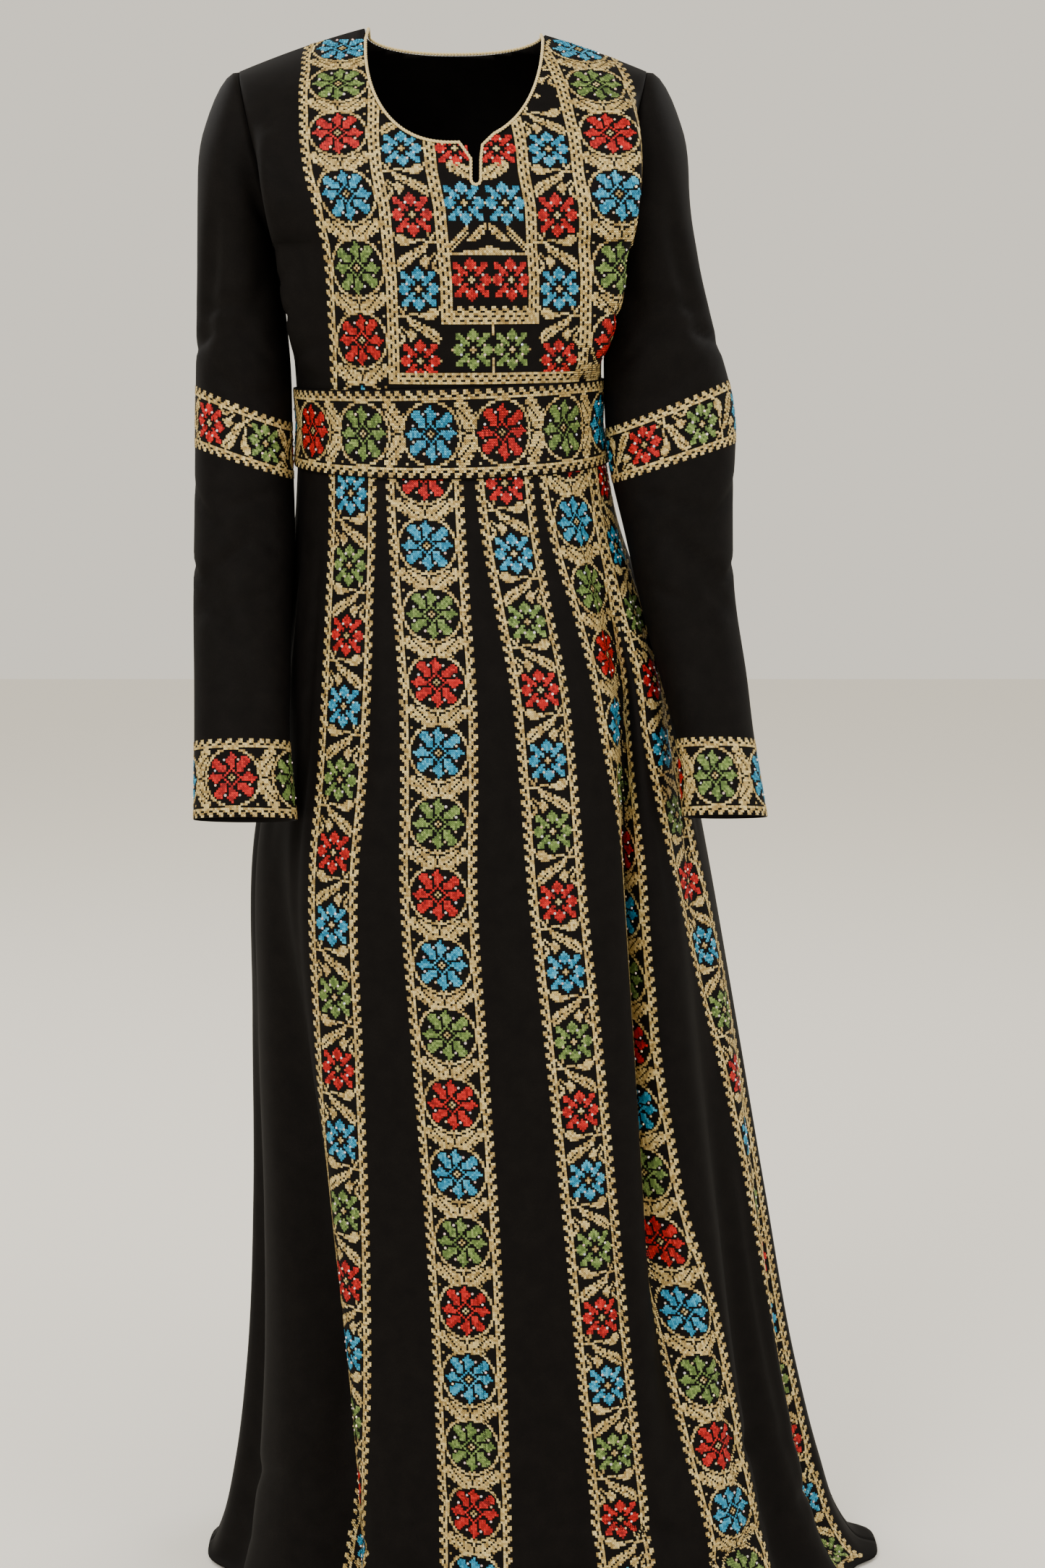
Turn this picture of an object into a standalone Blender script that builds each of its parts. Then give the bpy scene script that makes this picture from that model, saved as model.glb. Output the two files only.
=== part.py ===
"""Thobe: a long black dress, worn, with its embroidered belt, as hollow walls of cloth.

Metres, +Z up, front towards -Y. The wearer's left is at +X.
The origin is where the wearer's shoulders carry the dress, midway between the two shoulder tips.
Tables and functions work in heights over the floor, and the last step lowers each piece to the origin.
"""
import math

import bmesh
import bpy
import numpy as np
from mathutils import Vector
from mathutils.bvhtree import BVHTree

# Driving dimensions
CARRY_HEIGHT = 1.450
CLOTH = 0.0018
BELT_CLOTH = 0.0024
SEAM = 0.0003
BELT_GAP = 0.0006
WAIST = 1.109
UNDERARM = 1.269
BELT_HEIGHT = 0.072
BELT_RISE = 0.030
BELT_SAG = 0.007
PIPING_RADIUS = 0.0014
PIPING_LOW = 0.004

# Neck opening, seen from the front: centre, half width and drop below the shoulder seam
NECK_CENTRE = 0.0105
NECK_HALF_WIDTH = 0.0805
NECK_TOP = 1.456
NECK_DROP_FRONT = 0.103
NECK_DROP_BACK = 0.018
NECK_SQUARENESS = 2.3
NECK_RIM = 0.05
SLIT_X = 0.031
SLIT_WIDTH = 0.0120
SLIT_LENGTH = 0.036
SLIT_MOUTH = 1.3
SLIT_MOUTH_DROP = 0.002
SLIT_SHOULDER_DROP = 0.014
SLIT_TOE_WIDTH = 0.7
SLIT_TOE_RISE = 0.3
CUT_DEPTH = 0.6
WELD = 0.00001

# Shoulder line and chest
SHOULDER_PEAK = 1.470
SHOULDER_CURVE = 1.5
CHEST_DEPTH = 0.140
CHEST_FALL = 2.2
BACK_DEPTH = 0.105
BACK_FALL = 3.2

# Armhole, an oval in a leaning plane
ARMHOLE = {"x": 0.1635, "z": 1.345, "half_height": 0.078, "half_depth": 0.062, "lean": 76.5}
ARMHOLE_EASE = 0.004
SHOULDER_EASE = 0.008

# Degrees to each side of a skirt's side seam that its folds leave smooth, how fast a fold swells, and the
# height over which one that ends above the hem fades
SEAM_STIFFNESS = 8.0
FOLD_SWELL = 1.25
FOLD_FADE = 0.25

# Shares of the belt's height, below and above the waist seam, that get finer rows
SKIRT_BELTED = 0.75
BODICE_BELTED = 0.60

# Faces across a half of the body, round a sleeve, and down each piece
FRONT_COLUMNS = 26
SEAM_COLUMN = 1.5
SKIRT_COLUMNS = 50
SKIRT_BACK_COLUMNS = 32
SLEEVE_COLUMNS = 18
SLEEVE_ROWS = 20
BELTED_ROWS = 3
BODICE_LOWER_ROWS = 4
BODICE_UPPER_ROWS = 9
SKIRT_ROWS = 17
BELT_ROWS = 4
BELT_COLUMNS = 56
PIPING_POINTS = 30

# Level sections of the bodice: height, leftmost x, rightmost x, front y, back y, y of the widest place
BODICE_SECTIONS = [
    (1.109, -0.1340, 0.1420, -0.108, 0.080, 0.010),
    (1.145, -0.1360, 0.1430, -0.116, 0.086, 0.008),
    (1.190, -0.1385, 0.1435, -0.128, 0.094, 0.005),
    (1.230, -0.1420, 0.1440, -0.137, 0.101, 0.002),
    (1.269, -0.1453, 0.1453, -0.140, 0.105, 0.000),
]

# Level sections of the skirt, in the same columns, from the waist to the cloth that lies on the floor
SKIRT_SECTIONS = [
    (1.109, -0.1340, 0.1420, -0.108, 0.080, 0.010),
    (1.072, -0.1360, 0.1480, -0.113, 0.088, 0.012),
    (1.020, -0.1395, 0.1590, -0.122, 0.102, 0.015),
    (0.950, -0.1490, 0.1840, -0.135, 0.117, 0.015),
    (0.880, -0.1590, 0.2100, -0.147, 0.129, 0.012),
    (0.800, -0.1690, 0.2270, -0.157, 0.140, 0.010),
    (0.720, -0.1820, 0.2430, -0.166, 0.150, 0.008),
    (0.550, -0.1860, 0.2740, -0.180, 0.168, 0.005),
    (0.380, -0.1880, 0.3040, -0.194, 0.190, 0.005),
    (0.200, -0.1980, 0.3375, -0.210, 0.220, 0.010),
    (0.100, -0.2110, 0.3630, -0.222, 0.243, 0.015),
    (0.035, -0.2250, 0.3850, -0.238, 0.262, 0.020),
    (0.011, -0.2340, 0.4020, -0.258, 0.280, 0.020),
    (0.0045, -0.2400, 0.4220, -0.284, 0.302, 0.020),
]

# Folds of the skirt, as troughs: angle from the front at the top and at the hem (degrees, + to the
# wearer's left), height where it starts, height where it ends, half width in degrees, depth at its foot
SKIRT_FOLDS = [
    (-64.0, -35.0, 0.84, -0.10, 6.5, 0.042),
    (51.0, 33.0, 1.05, 0.12, 5.0, 0.040),
    (-22.0, -16.0, 0.80, -0.10, 7.0, 0.012),
    (6.0, 8.0, 0.62, -0.10, 7.0, 0.014),
    (64.0, 57.0, 0.86, -0.10, 6.5, 0.024),
    (84.0, 77.0, 0.66, -0.10, 6.0, 0.022),
    (-86.0, -72.0, 0.70, -0.10, 7.0, 0.024),
    (102.0, 104.0, 0.90, -0.10, 7.0, 0.030),
    (122.0, 127.0, 1.00, -0.10, 7.5, 0.026),
    (143.0, 148.0, 0.84, -0.10, 8.0, 0.036),
    (166.0, 169.0, 1.02, -0.10, 7.5, 0.030),
    (-172.0, -170.0, 0.74, -0.10, 7.0, 0.026),
    (-150.0, -152.0, 0.98, -0.10, 8.0, 0.038),
    (-128.0, -129.0, 0.86, -0.10, 7.5, 0.030),
    (-106.0, -105.0, 0.76, -0.10, 7.0, 0.026),
]

# Rings of the sleeve on the wearer's right: x outwards, y, z of the centre, half width, half depth,
# lean of the ring (outer side up) and pitch (front side up), both in degrees
SLEEVE_RIGHT_RINGS = [
    (0.1820, -0.002, 1.3174, 0.0640, 0.0620, 60.0, 0.0),
    (0.1850, -0.004, 1.2828, 0.0490, 0.0560, 42.0, 0.0),
    (0.1836, -0.006, 1.2350, 0.0457, 0.0500, 30.0, 0.0),
    (0.1826, -0.006, 1.1800, 0.0466, 0.0470, 24.0, 0.0),
    (0.1832, -0.008, 1.1000, 0.0470, 0.0440, 20.0, 2.0),
    (0.1825, -0.024, 1.0200, 0.0470, 0.0420, 14.0, 6.0),
    (0.1835, -0.048, 0.9500, 0.0450, 0.0390, 8.0, 10.0),
    (0.1825, -0.074, 0.8800, 0.0435, 0.0370, 3.0, 13.0),
    (0.1820, -0.090, 0.8370, 0.0430, 0.0350, 0.0, 15.0),
    (0.1780, -0.114, 0.7610, 0.0465, 0.0360, 0.0, 15.0),
]

# Rings of the sleeve on the wearer's left, whose elbow stands further out
SLEEVE_LEFT_RINGS = [
    (0.1820, -0.002, 1.3174, 0.0640, 0.0620, 60.0, 0.0),
    (0.1850, -0.004, 1.2828, 0.0490, 0.0560, 42.0, 0.0),
    (0.1878, -0.006, 1.2350, 0.0488, 0.0500, 30.0, 0.0),
    (0.1940, -0.006, 1.1800, 0.0543, 0.0480, 25.0, 0.0),
    (0.2067, -0.008, 1.1000, 0.0613, 0.0460, 20.0, 2.0),
    (0.2140, -0.022, 1.0200, 0.0505, 0.0430, 14.0, 6.0),
    (0.2220, -0.042, 0.9500, 0.0430, 0.0390, 8.0, 10.0),
    (0.2360, -0.064, 0.8800, 0.0390, 0.0370, 2.0, 12.0),
    (0.2440, -0.078, 0.8370, 0.0360, 0.0350, 0.0, 14.0),
    (0.2540, -0.100, 0.7610, 0.0380, 0.0350, 0.0, 14.0),
]

# Folds of a sleeve, as troughs: angle at the top and at the foot (0 front, 90 outer side), share of the
# sleeve's length where it starts and ends, half width in degrees, depth
SLEEVE_FOLDS = [
    (18.0, 58.0, 0.06, 0.34, 16.0, 0.0060),
    (100.0, 118.0, 0.10, 0.46, 16.0, 0.0050),
    (-62.0, 10.0, 0.12, 0.30, 18.0, 0.0045),
    (150.0, 196.0, 0.08, 0.40, 18.0, 0.0055),
    (-30.0, 62.0, 0.52, 0.72, 17.0, 0.0045),
    (44.0, -28.0, 0.62, 0.84, 16.0, 0.0040),
    (212.0, 140.0, 0.50, 0.74, 18.0, 0.0050),
]

# Folds of the bodice: angle from the front at the top and the foot, heights, half width, depth
BODICE_FOLDS = [
    (-66.0, -52.0, 1.33, 1.16, 8.0, 0.0045),
    (64.0, 50.0, 1.34, 1.16, 8.0, 0.0050),
    (34.0, 30.0, 1.24, 1.13, 7.0, 0.0030),
    (-34.0, -30.0, 1.23, 1.13, 7.0, 0.0030),
    (150.0, 158.0, 1.30, 1.14, 9.0, 0.0045),
    (-148.0, -156.0, 1.31, 1.14, 9.0, 0.0045),
    (118.0, 130.0, 1.34, 1.18, 9.0, 0.0040),
    (-118.0, -128.0, 1.33, 1.18, 9.0, 0.0040),
]

# Fullness of the bodice where it hangs over the belt beside the arms: angle from the front, lowest and
# highest height, half width in degrees, how far it stands out sideways and forwards
BODICE_FULLNESS = [
    (60.0, 1.154, 1.40, 13.0, 0.040, 0.028),
    (-64.0, 1.154, 1.37, 12.0, -0.016, 0.020),
]
FULLNESS_SWELL = 0.6

COLLECTION_NAME = "thobe"
CUTTER_COLLECTION_NAME = "thobe_cutters"
BLACK_CREPE = (0.0085, 0.0068, 0.0055)
BAND_GOLD = (0.36, 0.24, 0.11)
CREPE_ROUGHNESS = 0.85
STITCH_ROUGHNESS = 0.60
CORD_ROUGHNESS = 0.45


def smooth_row(rows, at):
    """The row of a table at a place between its own rows, on a smooth curve through all of them."""
    rows = np.array(rows, dtype=float)
    place = rows[:, 0]
    slopes = np.gradient(rows, place, axis=0)
    first = np.clip(np.searchsorted(place, at, side="right") - 1, 0, len(place) - 2)
    step = place[first + 1] - place[first]
    f = (at - place[first]) / step
    low, high = rows[first], rows[first + 1]
    rise = (1 + 2 * f) * (1 - f) ** 2 * low + f * f * (3 - 2 * f) * high
    return rise + step * (f * (1 - f) ** 2 * slopes[first] - f * f * (1 - f) * slopes[first + 1])


def with_distance(rows, columns):
    """The table with a new first column: the distance from its first row, through the given columns."""
    rows = np.array(rows, dtype=float)
    steps = np.linalg.norm(np.diff(rows[:, columns], axis=0), axis=1)
    distance = np.concatenate(([0.0], np.cumsum(steps)))
    return np.column_stack((distance, rows))


def across_fold(angle, top_angle, foot_angle, along, half_width):
    """A fold's share of its depth at an angle in degrees, where the fold is a share along its length."""
    middle = top_angle + (foot_angle - top_angle) * along
    off = (angle - middle + 180.0) % 360.0 - 180.0
    return math.exp(-((off / half_width) ** 2))


def trough(folds, angle, place):
    """How deep the folds are at an angle in degrees and a place along the piece."""
    depth = 0.0
    for top_angle, foot_angle, start, end, half_width, middle_depth in folds:
        along = (place - start) / (end - start)
        if 0 < along < 1:
            across = across_fold(angle, top_angle, foot_angle, along, half_width)
            depth += middle_depth * math.sin(math.pi * along) * across
    return depth


def section_point(section, angle):
    """A point of a level section: height, left, right, front, back and widest y, at an angle from front."""
    height, left, right, front, back, side = section
    turn = math.radians(angle)
    x = (left + right) / 2 + (right - left) / 2 * math.sin(turn)
    reach = front if math.cos(turn) > 0 else back
    y = side + (reach - side) * abs(math.cos(turn))
    return Vector((x, y, height))


def pressed(point, section, depth):
    """A point of a section moved towards the section's middle by a fold's depth."""
    middle = Vector(((section[1] + section[2]) / 2, section[5], section[0]))
    spoke = point - middle
    return middle + spoke * (1 - depth / spoke.length)


SKIRT_RINGS = with_distance(SKIRT_SECTIONS, [0, 2, 3])
SKIRT_LENGTH = SKIRT_RINGS[-1][0]


def skirt_trough(angle, height):
    """How deep the skirt's folds are: each starts at nothing and swells towards the hem."""
    depth = 0.0
    for top_angle, foot_angle, start, end, half_width, foot_depth in SKIRT_FOLDS:
        along = min(max((start - height) / (start - end), 0.0), 1.0)
        swell = math.sin(math.pi / 2 * min(along * FOLD_SWELL, 1.0)) ** 1.5
        if end > 0:
            swell *= min(max(height - end, 0.0) / FOLD_FADE, 1.0)
        depth += foot_depth * swell * across_fold(angle, top_angle, foot_angle, along, half_width)
    from_seam = abs(abs((angle + 180.0) % 360.0 - 180.0) - 90.0)
    return depth * (1 - math.exp(-((from_seam / SEAM_STIFFNESS) ** 4)))


def skirt_point(angle, down):
    """The skirt's outer face at an angle, a distance down the cloth from the waist."""
    section = smooth_row(SKIRT_RINGS, down)[1:]
    return pressed(section_point(section, angle), section, skirt_trough(angle, section[0]))


def skirt_down_at(height):
    """The distance down the skirt where it passes a height near the waist."""
    downs = np.linspace(0.0, SKIRT_LENGTH / 4, 200)
    heights = [smooth_row(SKIRT_RINGS, down)[1] for down in downs]
    return float(np.interp(-height, [-h for h in heights], downs))


def armhole_point(turn, side):
    """The armhole: turn -90 at the underarm, 0 at the front, 90 at the shoulder, 180 at the back."""
    lean = math.radians(ARMHOLE["lean"])
    up = ARMHOLE["half_height"] * math.sin(math.radians(turn))
    x = ARMHOLE["x"] + up * math.cos(lean)
    y = -ARMHOLE["half_depth"] * math.cos(math.radians(turn))
    return Vector((side * x, y, ARMHOLE["z"] + up * math.sin(lean)))


def fullness(angle, height):
    """How far the bodice's fullness moves a point of it."""
    shift = Vector((0, 0, 0))
    calm = 1 - math.exp(-(((90 - abs(angle)) / SEAM_STIFFNESS) ** 4))
    for at_angle, low, high, half_width, sideways, forwards in BODICE_FULLNESS:
        along = (height - low) / (high - low)
        if 0 < along < 1 and abs(angle) < 90:
            share = math.sin(math.pi * along) ** FULLNESS_SWELL
            share *= across_fold(angle, at_angle, at_angle, along, half_width) * calm
            shift += Vector((sideways, -forwards, 0)) * share
    return shift


def bodice_low_point(angle, height):
    """The bodice's outer face between the waist and the underarm."""
    section = smooth_row(BODICE_SECTIONS, height)
    point = pressed(section_point(section, angle), section, trough(BODICE_FOLDS, angle, height))
    return point + fullness(angle, height)


def bodice_high_point(angle, climb, back):
    """The bodice's outer face from the underarm (climb 0) to the shoulder seam (climb 1)."""
    turn = -90 + 180 * climb
    edge = armhole_point(180 - turn if back else turn, 1)
    depth, fall = (BACK_DEPTH, BACK_FALL) if back else (-CHEST_DEPTH, CHEST_FALL)
    across = math.sin(math.radians(angle))
    middle_y = depth * (1 - climb ** fall)
    middle_z = UNDERARM + (SHOULDER_PEAK - UNDERARM) * climb
    y = edge.y + (middle_y - edge.y) * abs(math.cos(math.radians(angle)))
    z = edge.z + (middle_z - edge.z) * (1 - abs(across) ** SHOULDER_CURVE)
    point = Vector((edge.x * across, y, z))
    fold = trough(BODICE_FOLDS, angle, z) * (1 - abs(across)) ** 0.5
    point += Vector((0, math.copysign(fold, -depth), 0))
    return point if back else point + fullness(angle, z)


def ring_point(ring, turn, side):
    """A point of a sleeve's ring: turn 0 at the front, 90 at the outer side."""
    x, y, z, half_width, half_depth, lean, pitch = ring
    out = half_width * math.sin(math.radians(turn))
    front = half_depth * math.cos(math.radians(turn))
    lean, pitch = math.radians(lean), math.radians(pitch)
    return Vector((
        side * (x + out * math.cos(lean)),
        y - front * math.cos(pitch),
        z + out * math.sin(lean) + front * math.sin(pitch),
    ))


def armhole_ring(ease):
    """The armhole as a sleeve's ring."""
    return (ARMHOLE["x"] + ease, 0.0, ARMHOLE["z"], ARMHOLE["half_height"], ARMHOLE["half_depth"],
            ARMHOLE["lean"], 0.0)


def sleeve_point(rings, turn, share, side):
    """The sleeve's outer face at a turn and a share of its length from the armhole."""
    row = smooth_row(rings, share * rings[-1][0])[1:]
    fold = trough(SLEEVE_FOLDS, turn, share)
    radius = (row[3] + row[4]) / 2
    row[3] *= 1 - fold / radius
    row[4] *= 1 - fold / radius
    return ring_point(row, turn, side)


def neck_outline(drop, grow=0.0):
    """The neck opening from its wearer's right corner, round the scoop, to its left corner, as x and z."""
    points = []
    power = 2 / NECK_SQUARENESS
    for i in range(PIPING_POINTS + 1):
        turn = math.pi * i / PIPING_POINTS
        across, down = math.cos(turn), max(math.sin(turn), 0.0)
        x = NECK_CENTRE - (NECK_HALF_WIDTH + grow) * math.copysign(abs(across) ** power, across)
        z = NECK_TOP - (drop + grow) * down ** power
        points.append((x, z))
    return points


def front_neck_outline(grow=0.0):
    """The scoop with the slit let into it."""
    scoop = neck_outline(NECK_DROP_FRONT, grow)
    half = SLIT_WIDTH / 2 + grow
    top = NECK_TOP - NECK_DROP_FRONT - grow
    foot = top - SLIT_LENGTH
    left = [
        (-half * SLIT_MOUTH, top - SLIT_MOUTH_DROP),
        (-half, top - SLIT_SHOULDER_DROP),
        (-half, foot + half),
        (-half * SLIT_TOE_WIDTH, foot + half * SLIT_TOE_RISE),
    ]
    right = [(-x, z) for x, z in reversed(left)]
    slit = [(SLIT_X + x, z) for x, z in left + [(0.0, foot)] + right]
    before = [p for p in scoop if p[0] < SLIT_X - SLIT_WIDTH]
    after = [p for p in scoop if p[0] > SLIT_X + SLIT_WIDTH]
    return before + slit + after


def principled(name, colour, roughness):
    """A cloth material."""
    material = bpy.data.materials.new(name)
    material.use_nodes = True
    shader = material.node_tree.nodes["Principled BSDF"]
    shader.inputs["Base Color"].default_value = (*colour, 1.0)
    shader.inputs["Roughness"].default_value = roughness
    shader.inputs["Metallic"].default_value = 0.0
    return material


def make_sheet(name, rows, material, thickness, closed=False):
    """A wall of cloth from rows of points on its outer face, thickened inwards."""
    width = len(rows[0])
    points = [point - Vector((0, 0, CARRY_HEIGHT)) for row in rows for point in row]
    faces = []
    for j in range(len(rows) - 1):
        for i in range(width if closed else width - 1):
            k = (i + 1) % width
            faces.append((j * width + i, j * width + k, (j + 1) * width + k, (j + 1) * width + i))
    mesh = bpy.data.meshes.new(name)
    mesh.from_pydata(points, [], faces)
    mesh.shade_smooth()
    piece = bpy.data.objects.new(name, mesh)
    piece.data.materials.append(material)
    bpy.data.collections[COLLECTION_NAME].objects.link(piece)
    wall = piece.modifiers.new("wall", "SOLIDIFY")
    wall.thickness = thickness
    wall.offset = -1.0
    wall.use_even_offset = True
    return piece


def cut_neck(piece, outline):
    """Cuts the neck opening out of a bodice piece, from its outline in x and z, along Y."""
    curve = bpy.data.curves.new(piece.name + "_neck", "CURVE")
    curve.dimensions = "2D"
    curve.fill_mode = "BOTH"
    curve.extrude = CUT_DEPTH / 2
    spline = curve.splines.new("POLY")
    rim = NECK_TOP + NECK_RIM
    loop = outline + [(outline[-1][0], rim), (outline[0][0], rim)]
    spline.points.add(len(loop) - 1)
    for point, (x, z) in zip(spline.points, loop):
        point.co = (x, z - CARRY_HEIGHT, 0, 1)
    spline.use_cyclic_u = True
    shape = bpy.data.objects.new(piece.name + "_neck_curve", curve)
    shape.rotation_euler = (math.pi / 2, 0, 0)
    bpy.data.collections[CUTTER_COLLECTION_NAME].objects.link(shape)
    bpy.context.view_layer.update()
    evaluated = shape.evaluated_get(bpy.context.evaluated_depsgraph_get())
    mesh = bpy.data.meshes.new_from_object(evaluated)
    weld_caps(mesh)
    cutter = bpy.data.objects.new(piece.name + "_neck_cutter", mesh)
    cutter.matrix_world = shape.matrix_world
    cutter.hide_render = True
    cutter.display_type = "WIRE"
    bpy.data.collections[CUTTER_COLLECTION_NAME].objects.link(cutter)
    bpy.data.objects.remove(shape)
    cut = piece.modifiers.new("neck", "BOOLEAN")
    cut.operation = "DIFFERENCE"
    cut.solver = "EXACT"
    cut.object = cutter


def weld_caps(mesh):
    """Joins a curve's loose caps to its sides."""
    shape = bmesh.new()
    shape.from_mesh(mesh)
    bmesh.ops.remove_doubles(shape, verts=shape.verts, dist=WELD)
    bmesh.ops.recalc_face_normals(shape, faces=shape.faces)
    shape.to_mesh(mesh)
    shape.free()


def moved(rows, shift):
    """Rows of points moved by a vector."""
    return [[point + Vector(shift) for point in row] for row in rows]


def steps(first, last, count):
    """Evenly spaced values from first to last."""
    return [first + (last - first) * i / count for i in range(count + 1)]


def seamed(first, last, count):
    """Angles from one side seam to the other, with a narrow column along each seam."""
    inner = steps(first + SEAM_COLUMN, last - SEAM_COLUMN, count)
    return [first] + inner + [last]


def make_skirt(material):
    """The skirt's front and back, parted at the side seams and below the waist seam."""
    belted = BELT_HEIGHT * SKIRT_BELTED
    downs = steps(0.0, belted, BELTED_ROWS)[:-1] + steps(belted, SKIRT_LENGTH, SKIRT_ROWS)
    halves = [
        ("skirt_front", -90.0, 90.0, SKIRT_COLUMNS, -1),
        ("skirt_back", 90.0, 270.0, SKIRT_BACK_COLUMNS, 1),
    ]
    for name, first, last, columns, way in halves:
        angles = seamed(first, last, columns)
        rows = [[skirt_point(angle, down) for angle in angles] for down in reversed(downs)]
        make_sheet(name, moved(rows, (0, way * SEAM / 2, -SEAM / 2)), material, CLOTH)


def make_bodice(material):
    """The bodice's front and back, from the waist seam to the shoulder seam."""
    for name, back, way, outline in (
        ("bodice_front", False, -1, front_neck_outline()),
        ("bodice_back", True, 1, neck_outline(NECK_DROP_BACK)),
    ):
        angles = seamed(-90.0, 90.0, FRONT_COLUMNS)
        low_angles = [180 - angle for angle in angles] if back else angles
        rows = []
        belted = WAIST + BELT_HEIGHT * BODICE_BELTED
        heights = steps(WAIST, belted, BELTED_ROWS)[:-1]
        heights += steps(belted, UNDERARM, BODICE_LOWER_ROWS)[:-1]
        for height in heights:
            rows.append([bodice_low_point(angle, height) for angle in low_angles])
        for climb in steps(0.0, 1.0, BODICE_UPPER_ROWS):
            rows.append([bodice_high_point(angle, climb, back) for angle in angles])
        flat = Vector((0, way * SHOULDER_EASE, 0))
        rows.insert(-1, [point + flat for point in rows[-1]])
        if back:
            rows = [list(reversed(row)) for row in rows]
        piece = make_sheet(name, moved(rows, (0, way * SEAM / 2, SEAM / 2)), material, CLOTH)
        cut_neck(piece, outline)


def make_sleeves(material):
    """Both sleeves, from the armhole to the open cuff."""
    for name, table, side in (
        ("sleeve_right", SLEEVE_RIGHT_RINGS, -1),
        ("sleeve_left", SLEEVE_LEFT_RINGS, 1),
    ):
        table = [armhole_ring(SEAM * 1.5), armhole_ring(ARMHOLE_EASE)] + table
        rings = with_distance(table, [0, 1, 2])
        turns = steps(0.0, 360.0, SLEEVE_COLUMNS)[:-1]
        if side < 0:
            turns.reverse()
        shares = [0.0] + steps(ARMHOLE_EASE / rings[-1][0], 1.0, SLEEVE_ROWS - 1)
        rows = [[sleeve_point(rings, turn, share, side) for turn in turns] for share in reversed(shares)]
        make_sheet(name, rows, material, CLOTH, closed=True)


def belt_point(angle, share):
    """The belt's outer face: share 0 at its lower edge, 1 at its upper edge."""
    reach = BELT_GAP + BELT_CLOTH
    x = section_point(BODICE_SECTIONS[0], angle).x
    front = max(math.cos(math.radians(angle)), 0.0)
    height = WAIST + BELT_HEIGHT * (share - 0.5) + BELT_RISE * x * (2 * share + 1) / 3
    height -= BELT_SAG * front * (1 - share)
    if height > WAIST:
        section = smooth_row(BODICE_SECTIONS, height)
    else:
        section = smooth_row(SKIRT_RINGS, skirt_down_at(height))[1:]
    grown = section + np.array((0, -reach, reach, -reach, reach, 0))
    return section_point(grown, angle)


def make_belt(material):
    """The belt, a closed band round the waist seam."""
    angles = steps(-180.0, 180.0, BELT_COLUMNS)[:-1]
    rows = [[belt_point(angle, share) for angle in angles] for share in steps(0.0, 1.0, BELT_ROWS)]
    make_sheet("belt", rows, material, BELT_CLOTH, closed=True)


def face_of(piece_name, outline, way):
    """Points of an outline in x and z, laid on the outer face of a bodice piece along Y."""
    mesh = bpy.data.objects[piece_name].data
    tree = BVHTree.FromPolygons([v.co for v in mesh.vertices], [tuple(p.vertices) for p in mesh.polygons])
    points = []
    for x, z in outline:
        hit = tree.ray_cast(Vector((x, way, z - CARRY_HEIGHT)), Vector((0, -way, 0)))[0]
        if hit and z < NECK_TOP - PIPING_LOW:
            points.append(hit)
    return points


def shoulder_corner(x):
    """The point of the shoulder seam at an x."""
    tip = armhole_point(90, 1).x
    point = bodice_high_point(math.degrees(math.asin(x / tip)), 1.0, False)
    return point - Vector((0, 0, CARRY_HEIGHT))


def make_piping(material):
    """The corded edge: one closed tube in the neck opening, down one side of the slit and up the other."""
    inset = -(PIPING_RADIUS + SEAM)
    half = NECK_HALF_WIDTH + 2 * inset
    path = face_of("bodice_front", front_neck_outline(inset), -1)
    path.append(shoulder_corner(NECK_CENTRE + half))
    path += reversed(face_of("bodice_back", neck_outline(NECK_DROP_BACK, inset), 1))
    path.append(shoulder_corner(NECK_CENTRE - half))
    curve = bpy.data.curves.new("neck_piping", "CURVE")
    curve.dimensions = "3D"
    curve.bevel_depth = PIPING_RADIUS
    curve.bevel_resolution = 1
    spline = curve.splines.new("POLY")
    spline.points.add(len(path) - 1)
    for point, place in zip(spline.points, path):
        point.co = (*place, 1)
    spline.use_cyclic_u = True
    piece = bpy.data.objects.new("neck_piping", curve)
    piece.data.materials.append(material)
    bpy.data.collections[COLLECTION_NAME].objects.link(piece)


def main():
    for item in list(bpy.data.objects):
        bpy.data.objects.remove(item)
    for name in (COLLECTION_NAME, CUTTER_COLLECTION_NAME):
        collection = bpy.data.collections.new(name)
        bpy.context.scene.collection.children.link(collection)
    cloth = principled("black_crepe", BLACK_CREPE, CREPE_ROUGHNESS)
    make_skirt(cloth)
    make_bodice(principled("black_crepe_bodice", BLACK_CREPE, CREPE_ROUGHNESS))
    make_sleeves(principled("black_crepe_sleeve", BLACK_CREPE, CREPE_ROUGHNESS))
    make_belt(principled("stitched_belt", BAND_GOLD, STITCH_ROUGHNESS))
    make_piping(principled("gold_cord", BAND_GOLD, CORD_ROUGHNESS))


main()
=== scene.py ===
# %% [markdown]
# # A black thobe with cross stitch
#
# The dress is made of loose black crepe. Its chest, belt, sleeves and skirt carry bands of cross stitch in
# gold, red, turquoise and olive green thread, with small glass stones set between the petals.
#
# The solids of the part give the cloth its size and its place. This script hangs thin cloth on them, adds
# the finer creases, and sews the bands stitch by stitch.

# %% Kit and the imported frame
import math

import bmesh
import bpy
import numpy as np
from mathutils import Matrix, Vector
from mathutils.bvhtree import BVHTree


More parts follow.
